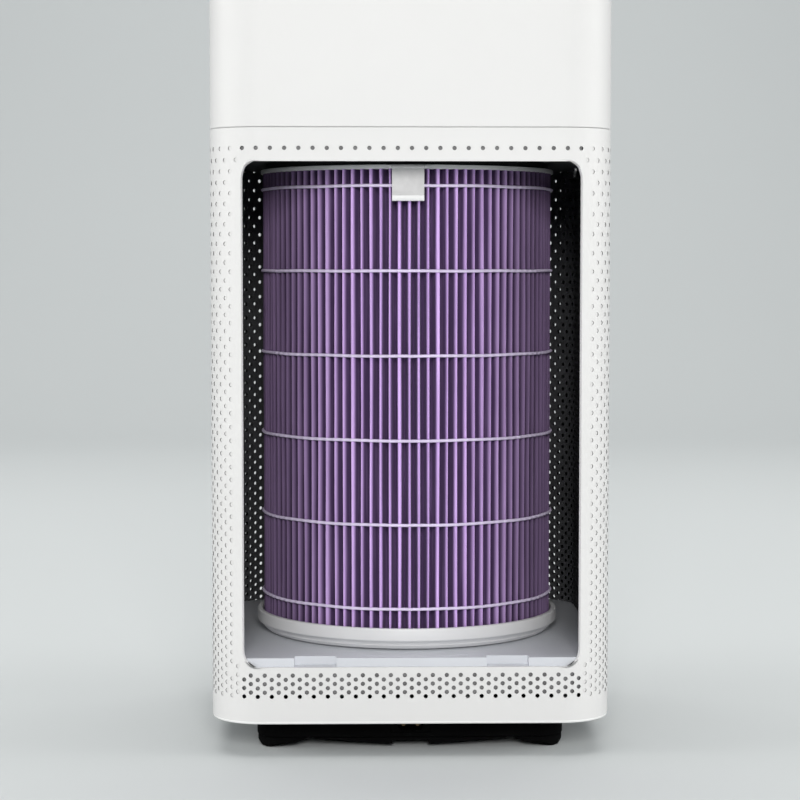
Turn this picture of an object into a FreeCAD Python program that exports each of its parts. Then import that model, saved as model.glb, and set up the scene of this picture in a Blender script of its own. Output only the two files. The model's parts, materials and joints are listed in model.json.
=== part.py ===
"""Tower air purifier with a slide-out cylindrical cartridge, in millimetres.

+Z is up and the origin is the middle of the footprint, on the floor. The cartridge opening faces -Y,
the display faces +Y. Every function below makes one node, and a node of several pieces is a compound.
"""
import FreeCAD
import Part
import math
import os

V = FreeCAD.Vector
ALONG_X = V(1, 0, 0)
ALONG_Y = V(0, 1, 0)
ALONG_Z = V(0, 0, 1)

# Housing
HALF = 120.0            # half the width and half the depth
HEIGHT = 520.0
CORNER_R = 31.0
WALL = 2.4
EDGE_R = 1.5
FLOOR_GAP = 20.0        # floor to the underside of the lower casing
SEAM_Z = 373.7
SEAM_GAP = 0.6
FIT = 0.3               # clearance between neighbouring pieces
INNER = HALF - WALL
INNER_R = CORNER_R - WALL

# Cartridge opening in the rear wall
OPENING_HALF = 100.5
OPENING_BOTTOM = 54.2
OPENING_TOP = 353.7
OPENING_R = 10.0

# Base
BASE_HALF = 93.6
BASE_R = 16.0
BASE_BOTTOM = 6.3
BASE_WALL = 2.5
BASE_FLOOR = BASE_BOTTOM + BASE_WALL
FLANGE_Z = FLOOR_GAP + WALL
FOOT_INNER = 58.4       # where a foot's slope meets the base, from the middle
FOOT_LOW = 82.0
FOOT_LOW_END = 90.0
FOOT_EDGE_Z = 3.6
PAD_AT = 85.2
PAD_R = 3.5
PAD_TOP = 0.8
GUIDE_LOW = 2.5
GUIDE_RECESS_Z = 4.9
GUIDE_RECESS_HALF = 10.8
GUIDE_DEPTH = 33.0
INLET_Z = 14.0
PIN_PITCH = 8.6
PIN_R = 1.2

# Cartridge tray
TRAY_TOP = 59.2
TRAY_THICK = 2.4
TRAY_FRONT = -116.0
DOOR_SLOT_X = 57.4
DOOR_SLOT_HALF = 12.5

# Cartridge
CART_BOTTOM = 59.5
CART_TOP = 353.0
MEDIA_R = 92.4
MEDIA_INNER_R = 64.3
BAND_R = 96.2
BAND_BOTTOM = 65.7
BAND_TOP = 73.2
TOP_RING_R = 93.4
TOP_RING_BOTTOM = 350.5
CORE_R = 58.0
CORE_WALL = 2.0
HOOP_FIRST_Z = 84.5
HOOP_PITCH = 51.2
HOOP_COUNT = 6
HOOP_WIDTH = 1.6
TAB_HALF = 9.65
TAB_X = -1.6
TAB_BOTTOM = 331.1
TAB_HEM = 3.4
LUG_WIDTH = 1.6
TAB_PIN_Y = -94.9
TAB_PIN_Z = 351.7
TAB_PIN_R = 0.6
TAB_KNUCKLE_R = 1.2

# Fan deck, fan housing and rotor
DECK_BOTTOM = 357.0
DECK_TOP = 360.0
THROAT_R = 58.0
DUCT_R = 100.0
DUCT_TOP = 509.5
DUCT_LIP_Z = 500.0
IMPELLER_R = 88.0
SHROUD_Z = 370.0
BACK_Z = 420.0
SKIN = 2.4
BLADE_COUNT = 9
SHAFT_R = 4.0
RUNNING = 0.05
CUP_R = 30.0
CUP_TOP = 448.0
MOUNT_Z = 450.0
MOUNT_TOP = 474.0
MOUNT_R = 34.0
VANE_COUNT = 7
TOOTH_COUNT = 12

# Top
TOP_DECK_Z = 514.5
TOP_DECK_THICK = 4.0
GRILLE_R = 93.0
LEDGE_HALF = 112.0
POWER_BUTTON_Y = 104.5
BUTTON_R = 5.5
FLANGE_R = 6.8

# Fittings in the upper casing's walls
DISPLAY_Z = 470.0
DISPLAY_R = 21.0
COVER_Y = -68.0
COVER_Z = 419.0
COVER_HALF_Y = 18.0
COVER_HALF_Z = 27.0
VENT_Z = 461.0
VENT_HALF_X = 22.0
VENT_HALF_Z = 6.0
DIMMER_Z = 490.0
BOARD = 1.6
MAIN_BOARD_Y = 113.0
MAIN_BOARD_HALF = 35.0
MAIN_BOARD_BOTTOM = 385.0
MAIN_BOARD_TOP = 450.0
CABLE_X = 40.0
CABLE_Y = 111.0
CABLE_R = 2.0
SWITCH_X = 86.0
SWITCH_Y = -110.5

# Fasteners
SCREW_R = 1.5
HEAD_R = 3.0
HEAD_H = 2.0
BASE_SCREWS = [(sx * a, sy * b) for a, b in ((99, 40), (40, 99)) for sx in (-1, 1) for sy in (-1, 1)]
DECK_SCREWS = [(sx * 112.5, sy * 50) for sx in (-1, 1) for sy in (-1, 1)]
POWER_BOARD_SCREWS = [(sx * 38, y) for sx in (-1, 1) for y in (-50, 34)]
MAIN_BOARD_SCREWS = [(sx * 30, z) for sx in (-1, 1) for z in (390, 445)]
DUCT_SCREW_R = 107.5
DUCT_SCREW_COUNT = 6


def box(x0, x1, y0, y1, z0, z1):
    return Part.makeBox(x1 - x0, y1 - y0, z1 - z0, V(x0, y0, z0))


def disc(radius, z0, z1, x=0.0, y=0.0):
    return Part.makeCylinder(radius, z1 - z0, V(x, y, z0), ALONG_Z)


def rod_y(radius, y0, y1, x, z):
    return Part.makeCylinder(radius, y1 - y0, V(x, y0, z), ALONG_Y)


def rod_x(radius, x0, x1, y, z):
    return Part.makeCylinder(radius, x1 - x0, V(x0, y, z), ALONG_X)


def tube(inner, outer, z0, z1, x=0.0, y=0.0):
    return disc(outer, z0, z1, x, y).cut(disc(inner, z0 - 1, z1 + 1, x, y))


def edges_along(shape, axis):
    """The straight edges of a box that run along one axis."""
    found = []
    for edge in shape.Edges:
        direction = edge.Vertexes[1].Point - edge.Vertexes[0].Point
        if abs(direction.normalize().dot(axis)) > 0.99:
            found.append(edge)
    return found


def rounded(x0, x1, y0, y1, z0, z1, radius, axis=ALONG_Z):
    """A box whose four edges along one axis are rounded."""
    block = box(x0, x1, y0, y1, z0, z1)
    return block.makeFillet(radius, edges_along(block, axis))


def slab(half, z0, z1, radius):
    return rounded(-half, half, -half, half, z0, z1, radius)


def frame_ring(inner, outer, z0, z1, inner_r, outer_r):
    return slab(outer, z0, z1, outer_r).cut(slab(inner, z0 - 1, z1 + 1, inner_r))


def round_rim(shape, z, radius):
    """Rounds every edge that lies flat at one height."""
    rim = [e for e in shape.Edges if abs(e.BoundBox.ZMin - z) < 1e-6 and abs(e.BoundBox.ZMax - z) < 1e-6]
    return shape.makeFillet(radius, rim)


def turned(profile):
    """A solid of revolution about Z from (radius, height) points."""
    points = [V(r, 0, z) for r, z in profile]
    face = Part.Face(Part.makePolygon(points + [points[0]]))
    return face.revolve(V(0, 0, 0), ALONG_Z, 360)


def fuse(first, *others):
    return first.multiFuse(list(others)).removeSplitter()


def polar(radius, degrees):
    angle = math.radians(degrees)
    return radius * math.cos(angle), radius * math.sin(angle)


def spun(shape, degrees):
    copy = shape.copy()
    copy.rotate(V(0, 0, 0), ALONG_Z, degrees)
    return copy


def screws(points, seat_z, length, up=True):
    """Vertical screws whose heads stand on seat_z, or hang below it."""
    made = []
    for x, y in points:
        if up:
            head = disc(HEAD_R, seat_z, seat_z + HEAD_H, x, y)
            made.append(head.fuse(disc(SCREW_R, seat_z - length, seat_z + 1, x, y)).removeSplitter())
        else:
            head = disc(HEAD_R, seat_z - HEAD_H, seat_z, x, y)
            made.append(head.fuse(disc(SCREW_R, seat_z - 1, seat_z + length, x, y)).removeSplitter())
    return Part.makeCompound(made)


def drilled(shape, points, radius, z0, z1):
    return shape.cut(Part.makeCompound([disc(radius, z0, z1, x, y) for x, y in points]))


def duct_screw_points():
    step = 360.0 / DUCT_SCREW_COUNT
    return [polar(DUCT_SCREW_R, step * (i + 0.5)) for i in range(DUCT_SCREW_COUNT)]


# ---------------------------------------------------------------- housing

def lower_casing():
    outer = slab(HALF, FLOOR_GAP, SEAM_Z - SEAM_GAP / 2, CORNER_R)
    outer = round_rim(outer, FLOOR_GAP, EDGE_R)
    shell = outer.cut(slab(INNER, FLANGE_Z, SEAM_Z + 1, INNER_R))
    shell = shell.cut(slab(BASE_HALF + FIT, FLOOR_GAP - 1, FLANGE_Z + 1, BASE_R + FIT))
    opening = rounded(-OPENING_HALF, OPENING_HALF, -HALF - 1, -INNER + 1,
                      OPENING_BOTTOM, OPENING_TOP, OPENING_R, ALONG_Y)
    shell = shell.cut(opening)
    ledge = frame_ring(INNER - 4, INNER + 1, DECK_BOTTOM - SKIN, DECK_BOTTOM, INNER_R - 4, INNER_R + 1)
    bosses = [disc(4.5, 350.0, DECK_BOTTOM, x, y) for x, y in DECK_SCREWS]
    shell = fuse(shell, ledge, *bosses)
    shell = drilled(shell, DECK_SCREWS, SCREW_R + RUNNING, 348.0, DECK_BOTTOM + 1)
    return drilled(shell, BASE_SCREWS, SCREW_R + 0.2, FLOOR_GAP - 1, FLANGE_Z + 1)


def upper_casing():
    outer = slab(HALF, SEAM_Z + SEAM_GAP / 2, HEIGHT, CORNER_R)
    outer = round_rim(outer, HEIGHT, EDGE_R)
    wall = outer.cut(slab(INNER, SEAM_Z - 1, HEIGHT + 1, INNER_R))
    tongue = frame_ring(INNER - 2, INNER - FIT, SEAM_Z - 7, SEAM_Z + 2, INNER_R - 2, INNER_R - FIT)
    root = frame_ring(INNER - 2, INNER + 1, SEAM_Z + 1, SEAM_Z + 3, INNER_R - 2, INNER_R + 1)
    ledge = frame_ring(LEDGE_HALF, INNER + 1, TOP_DECK_Z - 2.5, TOP_DECK_Z, INNER_R - 5, INNER_R + 1)
    posts = [rod_y(3.0, MAIN_BOARD_Y + BOARD, INNER + 1, x, z) for x, z in MAIN_BOARD_SCREWS]
    wall = fuse(wall, tongue, root, ledge, *posts)
    cuts = [rod_y(DISPLAY_R + FIT, INNER - 1, HALF + 1, 0, DISPLAY_Z)]
    cuts.append(rounded(-HALF - 1, -INNER + 1, COVER_Y - COVER_HALF_Y - FIT, COVER_Y + COVER_HALF_Y + FIT,
                        COVER_Z - COVER_HALF_Z - FIT, COVER_Z + COVER_HALF_Z + FIT, 4.0, ALONG_X))
    cuts.append(rounded(-VENT_HALF_X - FIT, VENT_HALF_X + FIT, -HALF - 1, -INNER + 1,
                        VENT_Z - VENT_HALF_Z - FIT, VENT_Z + VENT_HALF_Z + FIT, 3.0, ALONG_Y))
    cuts.append(rod_y(BUTTON_R + 0.35, -HALF - 1, -INNER + 1, 0, DIMMER_Z))
    cuts += [rod_y(SCREW_R + RUNNING, MAIN_BOARD_Y, HALF - 1.2, x, z) for x, z in MAIN_BOARD_SCREWS]
    return wall.cut(Part.makeCompound(cuts))


def top_deck():
    plate = slab(INNER - FIT, TOP_DECK_Z, TOP_DECK_Z + TOP_DECK_THICK, INNER_R - FIT)
    plate = plate.cut(disc(GRILLE_R + FIT, TOP_DECK_Z - 1, TOP_DECK_Z + 6))
    plate = round_rim(plate, TOP_DECK_Z + TOP_DECK_THICK, 0.8)
    return plate.cut(disc(BUTTON_R + 0.35, TOP_DECK_Z - 1, TOP_DECK_Z + 6, 0, POWER_BUTTON_Y))


def outlet_grille():
    collar = tube(GRILLE_R - 3, GRILLE_R, TOP_DECK_Z - 6.5, TOP_DECK_Z + 3)
    flange = tube(GRILLE_R - 3, GRILLE_R + 4, TOP_DECK_Z - 2.5, TOP_DECK_Z)
    bottom = TOP_DECK_Z
    top = TOP_DECK_Z + 2.4
    pieces = [flange, disc(16, bottom, top)]
    for i in range(9):
        radius = 24 + 7.6 * i
        pieces.append(tube(radius - 0.8, radius + 0.8, bottom, top))
    spoke = box(14, GRILLE_R - 2, -1.0, 1.0, bottom - 1.4, top - 0.4)
    pieces += [spun(spoke, 30 * i) for i in range(12)]
    return fuse(collar, *pieces)


def base_plate():
    tub = slab(BASE_HALF, BASE_BOTTOM, FLANGE_Z + 1, BASE_R)
    tub = round_rim(tub, BASE_BOTTOM, EDGE_R)
    flange = slab(BASE_HALF + 10.4, FLANGE_Z, FLANGE_Z + 2.6, BASE_R + 10.4)
    tub = tub.fuse(flange).removeSplitter()
    tub = tub.cut(slab(BASE_HALF - BASE_WALL, BASE_FLOOR, FLANGE_Z + 6, BASE_R - BASE_WALL))
    posts = [disc(3.0, BASE_FLOOR - 1, BASE_FLOOR + 2.4, x, y) for x, y in POWER_BOARD_SCREWS]
    tub = fuse(tub, *posts)
    tub = drilled(tub, POWER_BOARD_SCREWS, SCREW_R + RUNNING, BASE_FLOOR - 1, BASE_FLOOR + 4)
    tub = drilled(tub, BASE_SCREWS, SCREW_R + RUNNING, FLANGE_Z - 1, FLANGE_Z + 4)
    return tub.cut(box(-12, 12, -BASE_HALF - 1, -BASE_HALF + BASE_WALL + 1, INLET_Z - 4.5, INLET_Z + 4.5))


def along_y(profile, y0, y1):
    """A prism from (x, z) points, running from y0 to y1."""
    points = [V(x, y0, z) for x, z in profile]
    return Part.Face(Part.makePolygon(points + [points[0]])).extrude(V(0, y1 - y0, 0))


def corner_feet():
    """Wedges that are lowest near the corners and rise towards the middle of each side."""
    edge = BASE_HALF - 0.5
    profile = [(FOOT_INNER, BASE_BOTTOM), (FOOT_LOW, PAD_TOP), (FOOT_LOW_END, PAD_TOP), (edge, FOOT_EDGE_Z),
               (edge, BASE_BOTTOM)]
    wedge = along_y(profile, 0, BASE_HALF)
    across = wedge.mirror(V(0, 0, 0), V(1, -1, 0))
    block = rounded(FOOT_INNER, edge, FOOT_INNER, edge, 0, BASE_BOTTOM, BASE_R - 0.5)
    foot = wedge.common(across).common(block)
    return Part.makeCompound([spun(foot, 90 * i) for i in range(4)])


def rubber_pads():
    pad = round_rim(disc(PAD_R, 0, PAD_TOP, PAD_AT, PAD_AT), 0, 0.3)
    return Part.makeCompound([spun(pad, 90 * i) for i in range(4)])


def cord_guide():
    """A low rib under the inlet, deepest beside the recess that the supply cord passes."""
    tip = GUIDE_RECESS_HALF + 2.1
    half = [(FOOT_INNER, BASE_BOTTOM), (tip, GUIDE_LOW), (GUIDE_RECESS_HALF, GUIDE_LOW),
            (GUIDE_RECESS_HALF, GUIDE_RECESS_Z)]
    profile = half + [(-x, z) for x, z in reversed(half)]
    return along_y(profile, -BASE_HALF + 0.5, -BASE_HALF + GUIDE_DEPTH)


def power_inlet():
    body = box(-12.5, 12.5, -BASE_HALF + BASE_WALL, -BASE_HALF + 16, INLET_Z - 5, INLET_Z + 5)
    face = box(-11.7, 11.7, -BASE_HALF + 0.2, -BASE_HALF + BASE_WALL + 1, INLET_Z - 4.2, INLET_Z + 4.2)
    body = fuse(body, face)
    socket = rounded(-8, 8, -BASE_HALF - 1, -BASE_HALF + 13.5, INLET_Z - 3.2, INLET_Z + 3.2, 3.1, ALONG_Y)
    holes = [rod_y(PIN_R + RUNNING, -BASE_HALF, -BASE_HALF + 20, x, INLET_Z)
             for x in (-PIN_PITCH / 2, PIN_PITCH / 2)]
    return body.cut(Part.makeCompound([socket] + holes))


def inlet_pins():
    pins = []
    for x in (-PIN_PITCH / 2, PIN_PITCH / 2):
        pins.append(rod_y(PIN_R, -BASE_HALF + 3, -BASE_HALF + 24, x, INLET_Z))
    return Part.makeCompound(pins)


def filter_tray():
    plate = slab(INNER - FIT, TRAY_TOP - TRAY_THICK, TRAY_TOP, INNER_R - FIT)
    plate = plate.cut(box(-HALF, HALF, -HALF, TRAY_FRONT, TRAY_TOP - 10, TRAY_TOP + 1))
    skirt = box(-96, 96, TRAY_FRONT, TRAY_FRONT + TRAY_THICK, 50.0, TRAY_TOP - 1)
    lip = box(-92, 92, -INNER + FIT, TRAY_FRONT + 1, 50.0, OPENING_BOTTOM)
    pockets = [box(x - DOOR_SLOT_HALF - 2, x + DOOR_SLOT_HALF + 2, TRAY_FRONT, TRAY_FRONT + 9,
                   OPENING_BOTTOM - 2.2, TRAY_TOP - 1) for x in (-DOOR_SLOT_X, DOOR_SLOT_X)]
    posts = [disc(5, FLANGE_Z + 2.6, TRAY_TOP - 1, sx * 96, sy * 96) for sx in (-1, 1) for sy in (-1, 1)]
    tray = fuse(plate, skirt, lip, *pockets, *posts)
    cuts = []
    for x in (-DOOR_SLOT_X, DOOR_SLOT_X):
        cuts.append(box(x - DOOR_SLOT_HALF, x + DOOR_SLOT_HALF, TRAY_FRONT - 1, TRAY_FRONT + 7,
                        OPENING_BOTTOM, TRAY_TOP + 1))
    cuts.append(disc(CABLE_R + 1, TRAY_TOP - 5, TRAY_TOP + 1, CABLE_X, CABLE_Y))
    cuts += [arc_groove(-107.0, -85.5), arc_groove(-81.5, -71.5)]
    return tray.cut(Part.makeCompound(cuts))


def arc_groove(start, end):
    """A shallow groove in the tray, concentric with the cartridge."""
    ring = tube(109.2, 110.6, TRAY_TOP - 0.8, TRAY_TOP + 1)
    x0, y0 = polar(160, start)
    x1, y1 = polar(160, end)
    wedge = Part.Face(Part.makePolygon([V(0, 0, 50), V(x0, y0, 50), V(x1, y1, 50), V(0, 0, 50)]))
    return ring.common(wedge.extrude(V(0, 0, 20)))


def cable_channel():
    outer = box(CABLE_X - 6, CABLE_X + 6, 105.5, INNER - FIT, TRAY_TOP, DECK_BOTTOM - SKIN - FIT)
    return outer.cut(box(CABLE_X - 4, CABLE_X + 4, 107.5, HALF, TRAY_TOP - 1, DECK_BOTTOM + 1))


# ---------------------------------------------------------------- fan unit

def fan_deck():
    plate = slab(INNER - FIT, DECK_BOTTOM, DECK_TOP, INNER_R - FIT)
    plate = plate.cut(disc(THROAT_R, DECK_BOTTOM - 1, DECK_TOP + 1))
    plate = plate.cut(disc(CABLE_R + 1, DECK_BOTTOM - 1, DECK_TOP + 1, CABLE_X, CABLE_Y))
    plate = plate.cut(disc(2.2, DECK_BOTTOM - 1, DECK_TOP + 1, SWITCH_X, SWITCH_Y))
    plate = drilled(plate, DECK_SCREWS, SCREW_R + 0.2, DECK_BOTTOM - 1, DECK_TOP + 1)
    return drilled(plate, duct_screw_points(), SCREW_R + RUNNING, DECK_BOTTOM - 1, DECK_TOP + 1)


def deck_seal():
    return tube(66, 90, CART_TOP + FIT, DECK_BOTTOM)


def inlet_ring():
    return turned([(THROAT_R, DECK_TOP), (75, DECK_TOP), (75, DECK_TOP + 1.6), (63, DECK_TOP + 1.6),
                   (60.6, DECK_TOP + 3.4), (60, DECK_TOP + 8), (THROAT_R, DECK_TOP + 8)])


def fan_duct():
    outer = DUCT_R + SKIN
    shell = turned([(DUCT_R, DECK_TOP), (112, DECK_TOP), (112, DECK_TOP + SKIN), (outer, DECK_TOP + SKIN),
                    (outer, DUCT_LIP_Z), (outer - 3, DUCT_TOP), (outer - 5.4, DUCT_TOP),
                    (DUCT_R, DUCT_LIP_Z)])
    return drilled(shell, duct_screw_points(), SCREW_R + 0.2, DECK_TOP - 1, DECK_TOP + 4)


def blade():
    """One backward-curved blade, from the eye to the rim."""
    def arc(turn):
        points = [V(*polar(r, a + turn), SHROUD_Z + SKIN) for r, a in ((64.8, 0), (76, -14), (87.5, -32))]
        return Part.Arc(*points).toShape()
    front = arc(0.0)
    back = arc(1.7)
    inner = Part.makeLine(front.Vertexes[0].Point, back.Vertexes[0].Point)
    rim = Part.makeLine(front.Vertexes[-1].Point, back.Vertexes[-1].Point)
    outline = Part.Wire(Part.__sortEdges__([front, rim, back, inner]))
    return Part.Face(outline).extrude(V(0, 0, BACK_Z - SHROUD_Z - SKIN))


def fan_wheel():
    """The back plate of the impeller with its boss."""
    back = disc(IMPELLER_R, BACK_Z, BACK_Z + SKIN)
    boss = turned([(0, BACK_Z - 12), (10, BACK_Z - 12), (14, BACK_Z + 1), (0, BACK_Z + 1)])
    return fuse(back, boss).cut(disc(SHAFT_R + RUNNING, BACK_Z - 20, BACK_Z + 10))


def fan_blades():
    return Part.makeCompound([spun(blade(), 360.0 / BLADE_COUNT * i) for i in range(BLADE_COUNT)])


def fan_shroud():
    """The front ring of the impeller, whose collar runs round the inlet ring."""
    return fuse(tube(62, IMPELLER_R, SHROUD_Z, SHROUD_Z + SKIN), tube(62, 64.4, SHROUD_Z - 6, SHROUD_Z + 1))


def rotor_cup():
    floor = disc(CUP_R, BACK_Z + SKIN, BACK_Z + SKIN + 2)
    wall = tube(CUP_R - 2, CUP_R, BACK_Z + SKIN, CUP_TOP)
    return fuse(floor, wall).cut(disc(SHAFT_R + RUNNING, BACK_Z, BACK_Z + 10))


def rotor_magnets():
    ring = tube(CUP_R - 3.8, CUP_R - 2.1, BACK_Z + SKIN + 2, CUP_TOP - 1)
    slot = box(0, CUP_R, -0.3, 0.3, BACK_Z, CUP_TOP)
    slots = Part.makeCompound([spun(slot, 45 * i) for i in range(8)])
    return Part.makeCompound(ring.cut(slots).Solids)


def motor_shaft():
    return disc(SHAFT_R, BACK_Z - 12, MOUNT_TOP - 4)


def motor_mount():
    """The hub that carries the bearings and the stator."""
    plate = disc(MOUNT_R, MOUNT_Z, MOUNT_Z + 3)
    hub = tube(MOUNT_R - SKIN, MOUNT_R, MOUNT_Z, MOUNT_TOP)
    bearing_tube = disc(9.8, MOUNT_Z - 20, MOUNT_TOP - 6)
    mount = fuse(plate, hub, bearing_tube)
    return mount.cut(disc(7 + RUNNING, MOUNT_Z - 21, MOUNT_TOP + 1))


def guide_vanes():
    """The vanes that hold the hub in the duct and straighten the air."""
    vane = box(MOUNT_R + 0.1, DUCT_R - 0.2, -1.2, 1.2, MOUNT_Z, MOUNT_TOP)
    return Part.makeCompound([spun(vane, 360.0 / VANE_COUNT * i) for i in range(VANE_COUNT)])


def motor_bearings():
    seats = (MOUNT_Z - 19, MOUNT_TOP - 12)
    return Part.makeCompound([tube(SHAFT_R + RUNNING, 7, z, z + 5) for z in seats])


def tooth(half_width, r0, r1, z0, z1):
    return box(r0, r1, -half_width, half_width, z0, z1)


def motor_stator():
    core = tube(9.8 + RUNNING, 14, 432, 444)
    teeth = []
    for i in range(TOOTH_COUNT):
        angle = 360.0 / TOOTH_COUNT * i
        teeth.append(spun(tooth(1.3, 13, 24.6, 432, 444), angle))
        teeth.append(spun(tooth(4.6, 23.2, 24.8, 432, 444), angle))
    return fuse(core, *teeth)


def stator_coils():
    coils = []
    for i in range(TOOTH_COUNT):
        winding = tooth(2.5, 15.6, 22.6, 430.6, 445.4).cut(tooth(1.35, 10, 30, 431.9, 444.1))
        coils.append(spun(winding, 360.0 / TOOTH_COUNT * i))
    return Part.makeCompound(coils)


def motor_cover():
    return turned([(0, MOUNT_TOP), (MOUNT_R, MOUNT_TOP), (MOUNT_R, MOUNT_TOP + 1.5), (28, MOUNT_TOP + 4.5),
                   (14, MOUNT_TOP + 6.5), (0, MOUNT_TOP + 7)])


# ---------------------------------------------------------------- cartridge

def filter_base_ring():
    return turned([(0, CART_BOTTOM), (90.5, CART_BOTTOM), (BAND_R - 1, BAND_BOTTOM - 0.6),
                   (BAND_R, BAND_BOTTOM), (BAND_R, BAND_TOP), (MEDIA_R + 0.2, BAND_TOP),
                   (MEDIA_R + 0.2, CART_BOTTOM + 2.4), (0, CART_BOTTOM + 2.4)])


def filter_top_ring():
    ring = turned([(CORE_R, TOP_RING_BOTTOM), (TOP_RING_R, TOP_RING_BOTTOM), (TOP_RING_R, CART_TOP - 0.6),
                   (TOP_RING_R - 0.6, CART_TOP), (CORE_R, CART_TOP)])
    lugs = []
    for x0 in (TAB_X - TAB_HALF - FIT - LUG_WIDTH, TAB_X + TAB_HALF + FIT):
        x1 = x0 + LUG_WIDTH
        lug = box(x0, x1, TAB_PIN_Y, -91, TAB_PIN_Z - TAB_KNUCKLE_R, TAB_PIN_Z + TAB_KNUCKLE_R)
        lug = lug.fuse(rod_x(TAB_KNUCKLE_R, x0, x1, TAB_PIN_Y, TAB_PIN_Z)).removeSplitter()
        lugs.append(lug)
    ring = fuse(ring, *lugs)
    return ring.cut(rod_x(TAB_PIN_R + RUNNING, TAB_X - 12, TAB_X + 12, TAB_PIN_Y, TAB_PIN_Z))


def tab_pin():
    reach = TAB_HALF + FIT + LUG_WIDTH
    return rod_x(TAB_PIN_R, TAB_X - reach, TAB_X + reach, TAB_PIN_Y, TAB_PIN_Z)


def pull_tab():
    x0 = TAB_X - TAB_HALF
    x1 = TAB_X + TAB_HALF
    knuckle = rod_x(TAB_KNUCKLE_R, x0, x1, TAB_PIN_Y, TAB_PIN_Z)
    strap = box(x0, x1, TAB_PIN_Y - 0.4, TAB_PIN_Y + 0.4, TAB_BOTTOM + 3, TAB_PIN_Z)
    hem = rounded(x0, x1, TAB_PIN_Y - 0.9, TAB_PIN_Y + 0.9, TAB_BOTTOM, TAB_BOTTOM + TAB_HEM, 0.8, ALONG_X)
    tab = fuse(knuckle, strap, hem)
    return tab.cut(rod_x(TAB_PIN_R + RUNNING, x0 - 1, x1 + 1, TAB_PIN_Y, TAB_PIN_Z))


def filter_media():
    return tube(MEDIA_INNER_R, MEDIA_R, CART_BOTTOM + 2.4, TOP_RING_BOTTOM)


def filter_hoops():
    hoops = []
    for i in range(HOOP_COUNT):
        z = HOOP_FIRST_Z + HOOP_PITCH * i
        hoops.append(tube(MEDIA_R, MEDIA_R + 0.7, z - HOOP_WIDTH / 2, z + HOOP_WIDTH / 2))
    return Part.makeCompound(hoops)


def filter_core():
    shell = tube(CORE_R, CORE_R + CORE_WALL, CART_BOTTOM + 2.4, TOP_RING_BOTTOM)
    windows = []
    for level in range(7):
        z = 68.0 + 40.2 * level
        for i in range(6):
            window = box(-80, 80, -7.0, 7.0, z, z + 34)
            windows.append(spun(window, 30 * i))
    return shell.cut(Part.makeCompound(windows))


def carbon_sleeve():
    return tube(CORE_R + CORE_WALL + 0.1, MEDIA_INNER_R - 0.1, CART_BOTTOM + 2.4, TOP_RING_BOTTOM)


# ---------------------------------------------------------------- controls, sensors and electronics

def power_button():
    z = TOP_DECK_Z + TOP_DECK_THICK
    cap = round_rim(disc(BUTTON_R, z - 5, z - 0.2, 0, POWER_BUTTON_Y), z - 0.2, 0.6)
    flange = disc(FLANGE_R, z - 6.5, z - 4.5, 0, POWER_BUTTON_Y)
    stem = disc(1.8, z - 7.6, z - 6, 0, POWER_BUTTON_Y)
    return fuse(cap, flange, stem)


def power_switch():
    board = box(-16, 16, 101.8, 113, 504.4, 506.0)
    switch = box(-3, 3, POWER_BUTTON_Y - 2.6, POWER_BUTTON_Y + 3.4, 506.0, 509.5)
    return fuse(board, switch)


def dimmer_button():
    front = -HALF + 0.3
    cap = rod_y(BUTTON_R, front, front + 3.2, 0, DIMMER_Z)
    flange = rod_y(FLANGE_R, -INNER + 0.4, -INNER + 1.9, 0, DIMMER_Z)
    stem = rod_y(1.8, -INNER + 1.5, -INNER + 3.0, 0, DIMMER_Z)
    return fuse(cap, flange, stem)


def dimmer_switch():
    board = box(-12, 12, -110, -110 + BOARD, DIMMER_Z - 8, DIMMER_Z + 8)
    switch = box(-3, 3, -INNER + 4.2, -110, DIMMER_Z - 3, DIMMER_Z + 3)
    return fuse(board, switch)


def display_window():
    window = rod_y(DISPLAY_R, INNER - 0.5, HALF, 0, DISPLAY_Z)
    flange = rod_y(DISPLAY_R + 2.5, INNER - 1.8, INNER - 0.1, 0, DISPLAY_Z)
    return fuse(window, flange)


def display_panel():
    return box(-13, 13, 113.6, INNER - 2.0, DISPLAY_Z - 12, DISPLAY_Z + 14)


def display_board():
    return box(-24, 24, 112.0, 113.6, 452, 492)


def sensor_vent():
    panel = rounded(-VENT_HALF_X, VENT_HALF_X, -HALF, -INNER, VENT_Z - VENT_HALF_Z, VENT_Z + VENT_HALF_Z,
                    2.7, ALONG_Y)
    slots = [box(x - 1.1, x + 1.1, -HALF - 1, -INNER + 1, VENT_Z - 4, VENT_Z + 4) for x in range(-16, 17, 4)]
    return panel.cut(Part.makeCompound(slots))


def climate_sensor():
    board = box(-10, 10, -112, -112 + BOARD, VENT_Z - 6, VENT_Z + 6)
    return fuse(board, box(-2, 2, -113.4, -111.5, VENT_Z - 2, VENT_Z + 2))


def sensor_cover():
    panel = rounded(-HALF, -INNER, COVER_Y - COVER_HALF_Y, COVER_Y + COVER_HALF_Y,
                    COVER_Z - COVER_HALF_Z, COVER_Z + COVER_HALF_Z, 3.7, ALONG_X)
    slots = []
    for i in range(6):
        z = COVER_Z - 15 + 6 * i
        slots.append(box(-HALF - 1, -INNER + 1, COVER_Y - 10, COVER_Y + 10, z - 1.1, z + 1.1))
    legs = [box(-INNER - 0.5, -INNER + 2.6, COVER_Y - 4, COVER_Y + 4, z - 1, z + 1)
            for z in (COVER_Z - COVER_HALF_Z + 2, COVER_Z + COVER_HALF_Z - 2)]
    return fuse(panel.cut(Part.makeCompound(slots)), *legs)


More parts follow.
